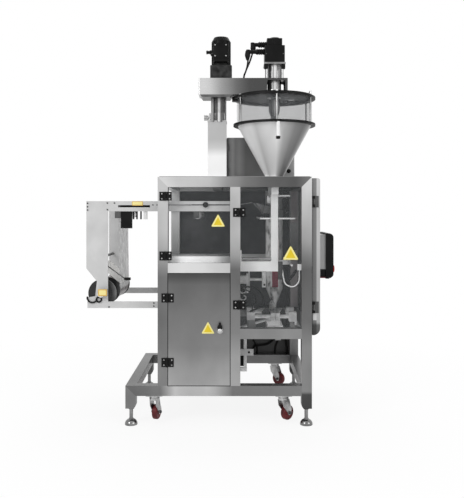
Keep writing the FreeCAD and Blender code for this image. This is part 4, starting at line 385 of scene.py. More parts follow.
drum_clear = see_through("drum_clear", (112, 114, 116), 0.2, 0.05, gloss=0.15)
# The mottled tone of the smoked far panes is painted reflection.
pane_smoked = painted(
    "pane_smoked", (92, 92, 94), (38, 38, 40), 0.25, 420.0, 0.0, patch=5.0, gloss=0.06
)
# The pale and dark folds of these two films are painted highlight and painted shade.
film_clear = see_through("film_clear", 226, 0.74, 0.22, 0.12, gloss=0.4, crease_shade=196)
film_folds = painted("film_folds", 214, 150, 0.3, 60.0, 0.3, patch=40.0)
film_tube = see_through("film_tube", 240, 0.86, 0.2, 0.1, gloss=0.5, crease_shade=130)
film_web = see_through("film_web", (232, 231, 228), 0.8, 0.25, 0.1, gloss=0.4)
film_pack = painted("film_pack", (166, 158, 158), (70, 64, 68), 0.35, 90.0, 0.2, patch=22.0)
tag_tan = painted("tag_tan", (214, 180, 104), (204, 168, 92), 0.4, 400.0, 0.05)
tag_pale = painted("tag_pale", (238, 226, 160), (230, 216, 140), 0.4, 400.0, 0.05)
# Painted light: a pale paint for strips that brighten the dim face of the far end post.
far_post_painted_light = painted("far_post_painted_light", (214, 206, 208), (180, 172, 174), 0.5, 300.0, 0.1)
black_line = painted("black_line", 22, 14, 0.6, 300.0, 0.05, gloss=0.05)
screen_glass = painted("screen_glass", (26, 34, 44), (20, 26, 36), 0.12, 300.0, 0.0)


def paint(node, default, *rules):
    """One material for a node, and others for its solids that pass a test of their box."""
    mesh = nodes[node].data
    mesh.materials.clear()
    for material in [default] + [material for test, material in rules]:
        mesh.materials.append(material)
    for faces, corner_lo, corner_hi in solids_of(mesh):
        index = 0
        for i, (test, material) in enumerate(rules):
            if test(corner_lo, corner_hi):
                index = i + 1
                break
        for face in faces:
            mesh.polygons[face].material_index = index


def paint_whole(material, *names):
    """One material for each of several nodes."""
    for name in names:
        paint(name, material)


def paint_faces(node, material, test):
    """Another material on the faces of a node whose middle passes a test."""
    mesh = nodes[node].data
    mesh.materials.append(material)
    for face in mesh.polygons:
        if test(face.center):
            face.material_index = len(mesh.materials) - 1


def solids_of(mesh):
    """The faces and box of each separate solid in a mesh, with points at one place taken as one."""
    place_of = {}
    parent = []

    def find(i):
        while parent[i] != i:
            parent[i] = parent[parent[i]]
            i = parent[i]
        return i

    number = []
    for vertex in mesh.vertices:
        key = tuple(round(c * 1e5) for c in vertex.co)
        if key not in place_of:
            place_of[key] = len(parent)
            parent.append(len(parent))
        number.append(place_of[key])
    for face in mesh.polygons:
        first = find(number[face.vertices[0]])
        for v in face.vertices[1:]:
            parent[find(number[v])] = first
    groups = {}
    for face in mesh.polygons:
        root = find(number[face.vertices[0]])
        groups.setdefault(root, []).append(face.index)
    solids = []
    for faces in groups.values():
        points = [mesh.vertices[v].co for f in faces for v in mesh.polygons[f].vertices]
        corner_lo = Vector([min(p[i] for p in points) for i in range(3)])
        corner_hi = Vector([max(p[i] for p in points) for i in range(3)])
        solids.append((faces, corner_lo, corner_hi))
    return solids


def solid_box(node, test):
    """The box of the first solid of a node that passes a test."""
    for faces, corner_lo, corner_hi in solids_of(nodes[node].data):
        if test(corner_lo, corner_hi):
            return corner_lo, corner_hi
    raise ValueError("no such solid in " + node)


# Mesh pieces

sharp_angle = 35
soft_edge = 0.0008
seat_sink = 0.0003


def finish_mesh(bm, name, body, material):
    """A piece from a built mesh, smooth but for its sharp edges, riding on a body."""
    mesh = bpy.data.meshes.new(name)
    bmesh.ops.recalc_face_normals(bm, faces=bm.faces)
    bm.to_mesh(mesh)
    bm.free()
    piece = bpy.data.objects.new(name, mesh)
    bpy.context.scene.collection.objects.link(piece)
    mesh.materials.append(material)
    for face in mesh.polygons:
        face.use_smooth = True
    mod = piece.modifiers.new("edges", "EDGE_SPLIT")
    mod.split_angle = math.radians(sharp_angle)
    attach(piece, body)
    return piece


def along(direction):
    """A turn that takes +Z to a direction."""
    return Z.rotation_difference(Vector(direction).normalized()).to_matrix().to_4x4()


def circle(radius, sides, height=0.0):
    """Points of a circle around Z."""
    angles = [2 * math.pi * i / sides for i in range(sides)]
    return [Vector((radius * math.cos(a), radius * math.sin(a), height)) for a in angles]


def add_skin(bm, loops):
    """A closed skin over loops of points; an end loop of one point is a tip, others are capped."""
    for first, second in zip(loops, loops[1:]):
        count = max(len(first), len(second))
        for i in range(count):
            j = (i + 1) % count
            if len(first) == 1:
                bm.faces.new((first[0], second[j], second[i]))
            elif len(second) == 1:
                bm.faces.new((first[i], first[j], second[0]))
            else:
                bm.faces.new((first[i], first[j], second[j], second[i]))
    for end in (list(reversed(loops[0])), loops[-1]):
        if len(end) > 1:
            bm.faces.new(end)


def add_disc_stack(bm, centre, direction, rings, sides=20):
    """A turned form: rings are pairs of distance along the direction and radius."""
    turn = Matrix.Translation(centre) @ along(direction)
    loops = []
    for distance, radius in rings:
        points = circle(radius, sides, distance) if radius else [Vector((0, 0, distance))]
        loops.append([bm.verts.new(turn @ point) for point in points])
    add_skin(bm, loops)


def add_box(bm, lo, hi, round_by=0.0):
    """A block with softened edges."""
    lo = Vector(lo)
    hi = Vector(hi)
    made = bmesh.ops.create_cube(bm, size=1.0)["verts"]
    size = hi - lo
    for v in made:
        v.co = Vector(v.co[i] * size[i] for i in range(3)) + (lo + hi) / 2
    if round_by:
        edges = {e for v in made for e in v.link_edges}
        bmesh.ops.bevel(bm, geom=list(edges), offset=round_by, segments=2, affect="EDGES", profile=0.6)


def add_screw(bm, centre, direction, radius, height=None):
    """A pan head with a hexagon socket, its seat sunk a hair into the face."""
    height = height or radius * 0.8
    rings = [
        (-seat_sink, radius), (height * 0.6, radius), (height, radius * 0.75), (height, radius * 0.42),
        (height * 0.35, radius * 0.38), (height * 0.35, 0),
    ]
    add_disc_stack(bm, centre, direction, rings, 16)


def add_hex(bm, centre, direction, across, height):
    """A hexagon head or nut with a chamfered crown."""
    rings = [(-seat_sink, across), (height * 0.85, across), (height, across * 0.86), (height, 0)]
    add_disc_stack(bm, centre, direction, rings, 6)


def screws(name, body, material, places, direction, radius, kind=add_screw, height=None):
    bm = bmesh.new()
    for place in places:
        kind(bm, Vector(place), direction, radius, height)
    return finish_mesh(bm, name, body, material)


def span(origin, xs, ys, zs):
    """Opposite corners of a block, from its ranges in X, Y and Z measured from an origin."""
    lo, hi = zip(xs, ys, zs)
    return Vector(origin) + Vector(lo), Vector(origin) + Vector(hi)


def route(origin, *offsets):
    """Points of a cord or outline, measured from an origin."""
    return [Vector(origin) + Vector(offset) for offset in offsets]


def blocks(name, body, material, boxes, round_by=soft_edge):
    """Softened blocks from pairs of opposite corners."""
    bm = bmesh.new()
    for lo, hi in boxes:
        add_box(bm, lo, hi, round_by)
    return finish_mesh(bm, name, body, material)


def turned(name, body, material, places, direction, rings, sides=24):
    """The same turned form at several places."""
    bm = bmesh.new()
    for place in places:
        add_disc_stack(bm, Vector(place), direction, rings, sides)
    return finish_mesh(bm, name, body, material)


def add_pipe(bm, points, radius, sides=12):
    """A round bar or hose through points, with flat ends."""
    turn = None
    last = None
    loops = []
    for i, point in enumerate(points):
        heading = (points[min(i + 1, len(points) - 1)] - points[max(i - 1, 0)]).normalized()
        turn = Z.rotation_difference(heading) if turn is None else last.rotation_difference(heading) @ turn
        last = heading
        loops.append([bm.verts.new(point + turn @ spot) for spot in circle(radius, sides)])
    add_skin(bm, loops)


def flowing(points, steps=6):
    """Points of a smooth curve through the given ones."""
    points = [Vector(p) for p in points]
    padded = [points[0] * 2 - points[1]] + points + [points[-1] * 2 - points[-2]]
    curve = []
    for before, start, end, after in zip(padded, padded[1:], padded[2:], padded[3:]):
        for i in range(steps):
            t = i / steps
            curve.append(
                0.5 * (2 * start + (end - before) * t + (2 * before - 5 * start + 4 * end - after) * t * t
                       + (3 * start - before - 3 * end + after) * t * t * t)
            )
    curve.append(points[-1])
    return curve


def hoses(name, body, material, routes, radius, curved=True):
    """Hoses or bars of one radius, curved through their points or straight between them."""
    bm = bmesh.new()
    for points in routes:
        add_pipe(bm, flowing(points) if curved else [Vector(p) for p in points], radius)
    return finish_mesh(bm, name, body, material)


def rounded(corners, cut):
    """The corners of a flat outline, each cut back and rounded."""
    corners = [Vector(c) for c in corners]
    outline = []
    for i, corner in enumerate(corners):
        before = corner + (corners[i - 1] - corner).normalized() * cut
        after = corner + (corners[(i + 1) % len(corners)] - corner).normalized() * cut
        for k in range(5):
            s = k / 4
            outline.append(before * (1 - s) ** 2 + corner * (2 * s * (1 - s)) + after * s * s)
    return outline


def plate(name, body, material, outline, push):
    """A flat plate: an outline pushed along a vector."""
    bm = bmesh.new()
    back = [bm.verts.new(Vector(p)) for p in outline]
    front = [bm.verts.new(Vector(p) + Vector(push)) for p in outline]
    add_skin(bm, [back, front])
    return finish_mesh(bm, name, body, material)


# Tones of the sub-components

far_side = 0.3


def is_leaf(lo, hi):
    """True for the small solids of a door, which are its hinge leaves."""
    return hi.z - lo.z < 0.08


def paint_frame():
    end_post_from = 0.48
    base_top = 0.25
    sill_top = 0.53
    shelf_top = 0.88
    leg_cap_top = 0.12
    # The frame's steels carry painted reflection and painted shade; the far legs get a darker copy as painted
    # shade.
    paint(
        "frame_posts", post_steel,
        (lambda lo, hi: lo.x > end_post_from, end_post_steel),
        (lambda lo, hi: hi.x < -0.38 and lo.y > far_side, shaded_far_leg_steel),
        (lambda lo, hi: 0.09 < lo.x < 0.12 and hi.x < 0.2, mid_post_steel),
    )
    paint(
        "frame_beams", top_steel,
        (lambda lo, hi: hi.z < base_top and lo.y > far_side, shaded_far_leg_steel),
        (lambda lo, hi: hi.z < base_top, base_steel),
        (lambda lo, hi: hi.z < sill_top, right_beam_steel),
        (lambda lo, hi: hi.z < shelf_top, left_beam_steel),
    )
    paint(
        "steel_panels", sheet_steel,
        # The right bay's far panel gets the darker sheet as painted shade.
        (lambda lo, hi: lo.x > 0.15 and lo.y > 0.4, dark_sheet),
        (is_shelf, shelf_steel),
    )
    paint(
        "leg_fittings", zinc,
        (lambda lo, hi: hi.z < leg_cap_top and lo.x > end_post_from, end_post_steel),
        (lambda lo, hi: hi.z < leg_cap_top and lo.y > far_side, shaded_far_leg_steel),
        (lambda lo, hi: hi.z < leg_cap_top, post_steel),
    )
    paint_whole(pane_smoked, "far_windows")
    paint_whole(black_plastic, "fixed_hinge_leaves")
    for corner in corners_of_base:
        paint_whole(chromed, "foot_" + corner)
        paint_whole(zinc, "fork_" + corner)
        paint_whole(rubber_red, "wheel_" + corner)


def is_shelf(lo, hi):
    """True for the shelf between the left window and the cabinet."""
    return lo.z > 0.87 and hi.z < 0.88


def paint_doors():
    for node, material in (
        ("left_window", pane_clear), ("right_window", pane_clear), ("cabinet_door", door_steel)
    ):
        paint(node, material, (is_leaf, black_plastic))
    paint("front_door", guard_steel, (is_leaf, dark_steel))
    paint(
        "hmi_housing", black_plastic,
        (lambda lo, hi: hi.x < screen_box_end, grey_box),
        (lambda lo, hi: hi.z < 0.785, trim_red),
    )
    paint("electrical_panel", plate_grey, (lambda lo, hi: lo.y < 0.29, black_plastic))
    paint_whole(black_plastic, "cabinet_lock")
    paint_whole(screen_glass, "hmi_screen")
    paint_whole(button_red, "emergency_stop")
    paint_whole(button_green, "start_button")
    paint_whole(box_paint, "rear_control_box")


screen_box_end = 0.65


def paint_head():
    gear_lo = arm_hi.z + 0.001
    gear_hi = arm_hi.z + 0.055
    # The plate under the arm gets darker steel: painted shade under the arm.
    paint("arm_housing", arm_steel, (lambda lo, hi: hi.z < arm_lo.z + 0.03, dark_steel))
    paint("gear_motor", black_paint, (lambda lo, hi: hi.z < arm_hi.z + 0.01, bright_steel))
    paint_faces("gear_motor", gear_case, lambda spot: gear_lo < spot.z < gear_hi)
    paint_whole(column_steel, "column_sleeve")
    paint_whole(aluminium, "clamp_knob")
    paint_whole(tube_steel, "lift_tubes")
    paint_whole(black_paint, "servo_motor")
    paint_whole(chromed, "tie_rods_and_pillars")
    paint_whole(cone_steel, "hopper_cone")
    paint_whole(black_plastic, "hopper_rings", "motor_cables")
    paint_whole(drum_clear, "hopper_cylinder")
    paint_whole(dark_lid, "hopper_lid")
    paint_whole(bright_steel, "auger_screw", "agitator")


def is_block_under_rail(lo, hi):
    """True for the rack's small blocks that hang just behind its near plate."""
    return hi.y < -0.28 and lo.y > -0.315


def paint_rack():
    disc_face = near_face + 0.06
    paint(
        "film_rack", plate_grey,
        (lambda lo, hi: is_block_under_rail(lo, hi) and hi.x - lo.x < 0.02 and hi.x > -0.38, white_plate),
        (lambda lo, hi: is_block_under_rail(lo, hi) and lo.x > -0.5 and hi.x < -0.37, black_plastic),
        (lambda lo, hi: hi.y - lo.y > 0.6, dark_steel),
    )
    paint_whole(aluminium, "guide_roller_rear", "guide_roller_front")
    paint_whole(film_pack, "film_roll")
    paint_whole(disc_mixed, "roll_chucks")
    paint_faces("roll_chucks", white_plate, lambda spot: spot.y < disc_face)
    paint("film", film_clear, (lambda lo, hi: lo.x > 0.3, film_tube))


def paint_sealing():
    for unit in ("near_belt_unit", "far_belt_unit"):
        paint(
            unit, light_steel,
            (lambda lo, hi: hi.z - lo.z > 0.29, belt_red),
            (lambda lo, hi: hi.z - lo.z < 0.05 and hi.x - lo.x < 0.04, dark_steel),
        )
    # The bay's brightened metal and brightened white are painted light for its dim inside.
    paint(
        "jaw_guide", brightened_bay_metal,
        (lambda lo, hi: lo.y < -0.2 or hi.y > 0.2, sheet_steel),
        (lambda lo, hi: hi.x < 0.19 and hi.z > 0.22, black_plastic),
        (lambda lo, hi: lo.x < 0.17 and lo.y < 0, white_plate),
        (lambda lo, hi: lo.x > 0.3 and hi.x < 0.42 and hi.z < 0.49, brightened_bay_white),
    )
    paint("air_cylinder", black_plastic, (lambda lo, hi: hi.z > 0.72, brightened_bay_metal))
    paint("wiring", black_plastic, (lambda lo, hi: lo.x > 0.36 and lo.z > 0.7, hose_white))
    paint_whole(white_plate, "former_support")
    paint_whole(bright_steel, "forming_set", "jaw_crank")
    paint_whole(brightened_bay_metal, "left_jaw", "right_jaw", "vertical_sealer")


# Plain plates

sign_thickness = 0.0008


def rimmed_plate(names, body, materials, outline, inset, cuts):
    """A plain plate on a rim; outline gives its corners for an inset, cuts round the two."""
    lift = -Y * sign_thickness
    plate(names[0], body, materials[0], rounded(outline(0.0), cuts[0]), lift)
    plate(names[1], body, materials[1], [p + lift for p in rounded(outline(inset), cuts[1])], lift)


def warning_plate(name, body, apex, width):
    """A plain yellow triangle with a pale rim on an upright face that looks towards -Y."""
    height = width * 0.9
    apex = Vector(apex)

    def triangle(inset):
        half = X * (width / 2 - inset * 1.8)
        foot = apex - Z * (height - inset)
        return [apex - Z * inset * 2, foot + half, foot - half]

    rimmed_plate(
        (name + "_rim", name), body, (sign_rim, sign_yellow), triangle, width * 0.11,
        (width * 0.12, width * 0.05),
    )


def small_tag(name, body, lo, hi):
    """A plain pale yellow rectangle with a darker rim, its corners given on its face."""
    lo = Vector(lo)
    hi = Vector(hi)
    rim = (hi.z - lo.z) * 0.16

    def rectangle(inset):
        left, right = lo.x + inset, hi.x - inset
        foot, top = lo.z + inset, hi.z - inset
        return [(left, lo.y, foot), (right, lo.y, foot), (right, lo.y, top), (left, lo.y, top)]

    rimmed_plate((name + "_rim", name), body, (tag_tan, tag_pale), rectangle, rim, (rim, rim))


# Doors

leaf_face = near_face - 0.004
leaf_screw_rise = 0.0135
small_screw = 0.0042


def hinge_screws(name, node, body, inset):
    """Screws in each hinge leaf on the near face; the inset runs from -X, a negative one from +X."""
    places = []
    for faces, corner_lo, corner_hi in solids_of(nodes[node].data):
        if is_leaf(corner_lo, corner_hi) and corner_hi.y < near_face + 0.001:
            x = corner_lo.x + inset if inset > 0 else corner_hi.x + inset
            centre = (corner_lo.z + corner_hi.z) / 2
            for rise in (-leaf_screw_rise, leaf_screw_rise):
                places.append((x, leaf_face, centre + rise))
    screws(name, body, zinc, places, -Y, small_screw)


def dress_doors():
    """Hinge screws, black bars round the cabinet door as painted shade in its gap, the plain triangles and the
    lock's face.
    """
    hinge_screws("fixed_leaf_screws", "fixed_hinge_leaves", "frame", 0.0135)
    for node in ("left_window", "right_window", "cabinet_door"):
        hinge_screws(node + "_hinge_screws", node, node, -0.011)
    door_lo, door_hi = solid_box("cabinet_door", lambda lo, hi: hi.z - lo.z > 0.3)
    gap = 0.0036
    proud = near_face - 0.0004
    bars = []
    for x0, x1 in ((door_lo.x - gap, door_lo.x), (door_hi.x, door_hi.x + gap)):
        bars.append(((x0, proud, door_lo.z - gap), (x1, near_face, door_hi.z + gap)))
    for z0, z1 in ((door_lo.z - gap, door_lo.z), (door_hi.z, door_hi.z + gap)):
        bars.append(((door_lo.x, proud, z0), (door_hi.x, near_face, z1)))
    # Black bars round the door: painted shade in its gap.
    blocks("door_gap", "frame", black_line, bars, round_by=0.0)
    lock_lo, lock_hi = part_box("cabinet_lock")
    lock_x = (lock_lo.x + lock_hi.x) / 2
    right_x = high("right_window").x - 0.058
    for name, body, x, apex, width in (
        ("cabinet_sign", "cabinet_door", lock_x - 0.064, lock_hi.z - 0.003, 0.072),
        ("left_window_sign", "left_window", lock_x - 0.01, post_hi.z - 0.2, 0.076),
        ("right_window_sign", "right_window", right_x, 0.971, 0.086),
    ):
        warning_plate(name, body, (x, near_face, apex), width)
    turned(
        "lock_button", "cabinet_lock", bright_steel, [(lock_x, lock_lo.y, lock_lo.z + 0.014)], -Y,
        [(-0.0005, 0.0115), (0.003, 0.0115), (0.006, 0.009), (0.0075, 0.004), (0.0078, 0)],
    )
    turned(
        "lock_back", "cabinet_lock", black_plastic,
        [(lock_x, lock_lo.y + 0.004, lock_lo.z + rise) for rise in (0.016, 0.031)], -Y,
        [(-0.003, 0.0135), (0.0025, 0.0135), (0.0035, 0.012), (0.0035, 0)],
    )
    turned(
        "lock_ring", "cabinet_door", aluminium, [(lock_x, near_face, lock_lo.z + 0.011)], -Y,
        [(-0.0005, 0.016), (0.0018, 0.016), (0.0024, 0.0145)],
    )


# Film rack

rack_plate_width = 0.119
rack_bar_height = 0.036
rack_lo, rack_hi = solid_box("film_rack", lambda lo, hi: hi.x - lo.x > 0.7 and lo.y < 0)
seam = Vector((rack_lo.x + rack_plate_width, rack_lo.y, rack_hi.z))
bar_top = rack_lo.z + rack_bar_height


def dress_rail():
    """Screws, small plates, knob and slots on the rack's near plate and rail."""
    face = rack_lo.y
    bar_screw_x = left_post_x - 0.018
    places = [(rack_lo.x + 0.007, face, seam.z - drop) for drop in (0.012, 0.031, 0.049)]
    places += [(seam.x - 0.003, face, seam.z - drop) for drop in (0.0105, 0.047)]
    places += [(seam.x + 0.006, face, rack_lo.z + 0.006), (seam.x + 0.036, face, seam.z - 0.0105)]
    places += [(bar_screw_x, face, z) for z in (bar_top - 0.008, rack_lo.z + 0.011)]
    screws("rack_screws", "frame", dark_steel, places, -Y, small_screw)
    ticks = [seam + Vector((away, 0, -0.021)) for away in (0.247, 0.27, 0.435, 0.45)]
    screws("rail_screws", "frame", dark_steel, ticks, -Y, 0.0036)
    small_tag("rail_tag", "frame", *span(seam, (0.132, 0.193), (0, 0), (-0.0245, -0.001)))
    foot = Vector((seam.x, face, bar_top))
    tag_lo, tag_hi = span(foot, (-0.048, 0.0015), (-0.033, -0.033), (0.034, 0.072))
    blocks(
        "rack_tag", "frame", plate_grey,
        [(tag_lo, tag_hi + Y * 0.001), span(foot, (0, 0.0015), (-0.033, 0.001), (0.034, 0.072))],
        round_by=0.0,
    )
    small_tag("rack_label", "frame", tag_lo, tag_hi)
    turned(
        "rail_knob", "frame", black_plastic, [seam + Vector((0.537, 0, -0.0205))], -Y,
        [(-0.0005, 0.009), (0.006, 0.009), (0.006, 0.0155), (0.018, 0.0155), (0.021, 0.012), (0.0215, 0)],
    )
    slot = span(seam, (0.052, 0.234), (0.008, 0.01), (-0.037, -0.019))
    cover = span(seam, (0.405, 0.67), (0.0006, 0.003), (-0.038, -0.018))
    groove = [
        span(seam, (0.324, 0.46), (-0.0006, 0.0005), (-0.023, -0.0195)),
        span(seam, (0.46, 0.67), (-0.0006, 0.0005), (-0.0235, -0.018)),
    ]
    # Black behind the slot and along the groove: painted shade in these recesses.
    blocks("slot_backs", "frame", black_line, [slot], round_by=0.0)
    blocks("slot_filler", "frame", plate_grey, [cover], round_by=0.0)
    blocks("rail_groove", "frame", black_line, groove, round_by=0.0)


def dress_roll():
    """Slack film between rail and roll, the ring and hook of its brake cord, and the web's clamp."""
    roll_lo, roll_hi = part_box("film_roll")
    roll_z = middle("film_roll").z
    guide = (rack_lo.x + 0.033, seam.z - 0.362)
    edge = (roll_hi.x + 0.004, roll_z + 0.036)
    tail = [
        (x, y, z)
        for (x, z), y in ((guide, roll_lo.y), (edge, roll_lo.y), (edge, roll_hi.y), (guide, roll_hi.y))
    ]
    plate("film_web", "frame", film_web, tail, (0.0004, 0, 0.0004))
    centre = Vector((rack_lo.x + 0.07, rack_lo.y - 0.0045, bar_top + 0.0115))
    ring = [centre + Vector((spot.x, 0, spot.y)) for spot in circle(0.0135, 24)]
    hook = route(
        centre, (-0.013, 0, -0.006), (-0.03, 0, -0.016), (-0.052, 0, -0.012), (-0.064, 0, 0.006),
        (-0.062, 0, 0.016),
    )
    hoses("rack_ring", "frame", black_plastic, [ring + ring[:1], hook], radius=0.0046)
    clamp = Vector((roll_hi.x + 0.053, rack_lo.y, roll_z))
    blocks("web_clamp", "frame", black_plastic, [span(clamp, (0, 0.033), (0.006, 0.03), (0.072, 0.086))])
    arm_y = rack_lo.y + 0.012
    arm = [(seam.x - 0.004, arm_y, roll_z + 0.15), (clamp.x + 0.004, arm_y, roll_z + 0.08)]
    hoses("web_clamp_arm", "frame", dark_steel, [arm], radius=0.0032, curved=False)


# Motors, drum and column


def dress_gear_motor():
    """Terminal box lid with its screws, and the cable gland on the motor's side."""
    motor_lo, motor_hi = solid_box("gear_motor", lambda lo, hi: hi.z > 2.1)
    foot = Vector(((motor_lo.x + motor_hi.x) / 2, motor_lo.y, arm_hi.z))
    lid = span(foot, (-0.046, 0.044), (-0.005, 0.001), (0.117, 0.202))
    skirt = span(foot, (-0.042, 0.04), (-0.002, 0.001), (0.112, 0.117))
    blocks("terminal_lid", "arm", black_paint, [lid], round_by=0.002)
    blocks("terminal_skirt", "arm", black_plastic, [skirt], round_by=0.0)
    corners = [foot + Vector((x, -0.005, z)) for x in (-0.034, 0.03) for z in (0.126, 0.19)]
    screws("terminal_screws", "arm", zinc, corners, -Y, radius=0.0045)
    turned(
        "motor_gland", "arm", black_plastic,
        [(motor_lo.x + 0.03, motor_lo.y + 0.05, arm_hi.z + 0.159)], -X,
        [(0.0, 0.013), (0.032, 0.013), (0.032, 0.0095), (0.046, 0.0095), (0.046, 0.0115), (0.052, 0.0115),
         (0.054, 0.006), (0.054, 0)],
    )


def dress_servo():
    """Lugs, bolts, encoder ribs and cap of the servo, and the boots and elbows of its connectors."""
    servo_lo, servo_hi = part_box("servo_motor")
    foot = Vector((servo_hi.x, servo_lo.y, servo_lo.z))
    head = Vector((servo_hi.x - 0.06, (servo_lo.y + servo_hi.y) / 2, servo_hi.z))
    lugs = [span(foot, (x, x + 0.024), (-0.003, 0.024), (-0.038, -0.0105)) for x in (-0.124, -0.022)]
    blocks("servo_lugs", "arm", black_paint, lugs, round_by=0.003)
    bolts = [foot + Vector((x, 0, 0.05)) for x in (-0.11, -0.01)]
    screws("servo_bolts", "arm", dark_steel, bolts, -Y, radius=0.004)
    ribs = []
    for k in range(7):
        x = 0.013 * k - 0.039
        ribs.append(span(head, (x - 0.002, x + 0.002), (-0.0475, -0.0445), (-0.04, -0.004)))
    blocks("encoder_ribs", "arm", black_paint, ribs)
    turned(
        "encoder_cap", "arm", black_paint, [head + Vector((0.003, 0, -0.001))], Z,
        [(0.0, 0.036), (0.006, 0.036), (0.011, 0.03), (0.0115, 0)],
    )
    boot = [(0.0, 0.0145)]
    for k in range(4):
        boot += [(0.003 + 0.012 * k, 0.0175), (0.009 + 0.012 * k, 0.0175), (0.0135 + 0.012 * k, 0.0135)]
    boot.append((0.054, 0.0125))
    elbow = [(-0.004, 0.013), (0.012, 0.016), (0.024, 0.0165), (0.036, 0.0125), (0.05, 0.008), (0.051, 0)]
    plugs = (("upper", -0.045, 0.017, -0.0245, 0.0435), ("lower", -0.06, -0.017, -0.075, 0.0095))
    for tag, x, y, z, elbow_x in plugs:
        turned(tag + "_boot", "arm", black_plastic, [head + Vector((x, y, z))], -X, boot)
    for tag, x, y, z, elbow_x in plugs:
        bend = (servo_lo.x + elbow_x, head.y + y, head.z + z)
        turned(tag + "_elbow", "arm", black_plastic, [bend], -Z, elbow)
    sleeve_foot = arm_lo.z + 0.004
    turned(
        "drive_sleeve", "arm", sleeve_steel, [(filler.x, filler.y, sleeve_foot)], Z,
        [(0.0, 0.041), (servo_lo.z - 0.011 - sleeve_foot, 0.041)], 48,
    )


def dress_hopper():
    """Inner sleeve, handle tip, ring nuts, clip and lid handle of the clear drum."""
    turned(
        "drum_sleeve", "arm", sleeve_steel, [(filler.x, filler.y, drum_hi.z)], -Z,
        [(0.0, 0.034), (0.066, 0.033), (0.084, 0.027), (0.108, 0.018), (0.118, 0.016), (0.118, 0.013)], 40,
    )
    handle_lo, handle_hi = solid_box("hopper_cone", lambda lo, hi: hi.x - lo.x < 0.03)
    tip = ((handle_lo.x + handle_hi.x) / 2, (handle_lo.y + handle_hi.y) / 2, handle_lo.z)
    turned(
        "handle_tip", "arm", black_plastic, [tip], -Z,
        [(-0.012, 0.0124), (0.001, 0.0124), (0.004, 0.008), (0.004, 0)],
    )
    rings_lo, rings_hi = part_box("hopper_rings")
    reach = (rings_hi.x - rings_lo.x) / 2 - 0.0085
    places = []
    for k in range(6):
        a = math.radians(90 + 60 * k)
        places.append(filler + Vector((reach * math.cos(a), reach * math.sin(a), 0)))
    heads = [place + Z * rings_hi.z for place in places]
    feet = [place + Z * rings_lo.z for place in places]
    screws("ring_nuts", "arm", zinc, heads, Z, 0.0075, add_hex, 0.006)
    screws("ring_bolts", "arm", dark_steel, feet, -Z, 0.0075, add_hex, 0.005)
    side = Vector((rings_lo.x, filler.y, rings_hi.z))
    clip = span(side, (-0.008, 0.03), (-0.03, 0.03), (-0.02, 0.006))
    blocks("drum_clips", "arm", black_plastic, [clip], round_by=0.004)
    strap = route(
        (filler.x + reach - 0.03, filler.y - 0.05, rings_hi.z),
        (0, -0.05, 0), (0, -0.05, 0.028), (0, 0.05, 0.028), (0, 0.05, 0),
    )
    hoses("lid_handle", "arm", bright_steel, [strap], radius=0.004, curved=False)


def dress_column():
    """Foot bolts of the column, the rods beside the lift tube and the jaws in front of its clamp."""
    column_lo, column_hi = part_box("column_sleeve")
    inset = 0.016
    corners = []
    for x in (column_lo.x + inset, column_hi.x - inset):
        corners += [(x, y, column_lo.z + 0.01) for y in (column_lo.y + inset, column_hi.y - inset)]
    screws("column_bolts", "frame", zinc, corners, Z, 0.009, add_hex, 0.007)
    tubes_lo, tubes_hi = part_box("lift_tubes")
    rod_radius = 0.0072
    rod_y = (tubes_lo.y + tubes_hi.y) / 2 + 0.012
    rod_foot = tubes_lo.z + 0.02
    turned(
        "lift_rods", "arm", sheet_steel,
        [(x, rod_y, rod_foot) for x in (tubes_lo.x + 0.026, tubes_hi.x + 0.0065)], Z,
        [(0.0, rod_radius), (arm_lo.z + 0.002 - rod_foot, rod_radius)],
    )
    clamp_lo, clamp_hi = solid_box("column_sleeve", lambda lo, hi: hi.z > column_hi.z - 0.001)
    for tag, x, radius in (("narrow", tubes_lo.x + 0.011, 0.011), ("wide", tubes_hi.x - 0.024, 0.024)):
        turned(
            "clamp_jaw_" + tag, "frame", tube_steel,
            [(x, clamp_lo.y + radius - 0.006, clamp_lo.z + 0.0005)], Z,
            [(0.0, radius), (clamp_hi.z - clamp_lo.z, radius)], 32,
        )


def dress_box():
    """Hinges, locks, vents and the dark cable duct of the rear control box."""
    box_lo, box_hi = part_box("rear_control_box")
    duct = span(box_lo, (-0.016, 0.001), (0.012, 0.06), (0.004, box_hi.z - box_lo.z - 0.004))
    blocks("box_duct", "frame", black_plastic, [duct], round_by=0.002)
    door_lo, door_hi = solid_box("rear_control_box", lambda lo, hi: hi.y - lo.y < 0.01)
    for tag, pin_y in (("near", door_lo.y - 0.004), ("far", box_hi.y + 0.004)):
        feet = [Vector((door_lo.x - 0.006, pin_y, z)) for z in (door_lo.z + 0.03, door_hi.z - 0.07)]
        pins = [[foot, foot + Z * 0.04] for foot in feet]
        hoses("box_hinges_" + tag, "frame", dark_steel, pins, radius=0.0045, curved=False)
    turned(
        "box_locks", "frame", black_plastic,
        [(door_hi.x - 0.022, door_lo.y, z) for z in (door_lo.z + 0.05, door_hi.z - 0.05)], -Y,
        [(-0.0005, 0.013), (0.003, 0.013), (0.004, 0.011), (0.0042, 0)],
    )
    depth = box_hi.y - box_lo.y
    width = box_hi.x - box_lo.x
    end = Vector((box_hi.x, box_lo.y, box_lo.z))
    back = Vector((box_lo.x, box_hi.y, box_lo.z))
    slats = []
    for k in range(8):
        z = 0.06 + 0.013 * k
        slats.append(span(end, (-0.001, 0.003), (0.05, depth - 0.05), (z, z + 0.005)))
    blocks("box_vent_end", "frame", dark_steel, slats, round_by=0.001)
    slats = []
    for k in range(10):
        z = 0.08 + 0.014 * k
        slats.append(span(back, (0.12, width - 0.12), (-0.001, 0.003), (z, z + 0.006)))
    blocks("box_vent_back", "frame", dark_steel, slats, round_by=0.001)


# Guard and operator panel


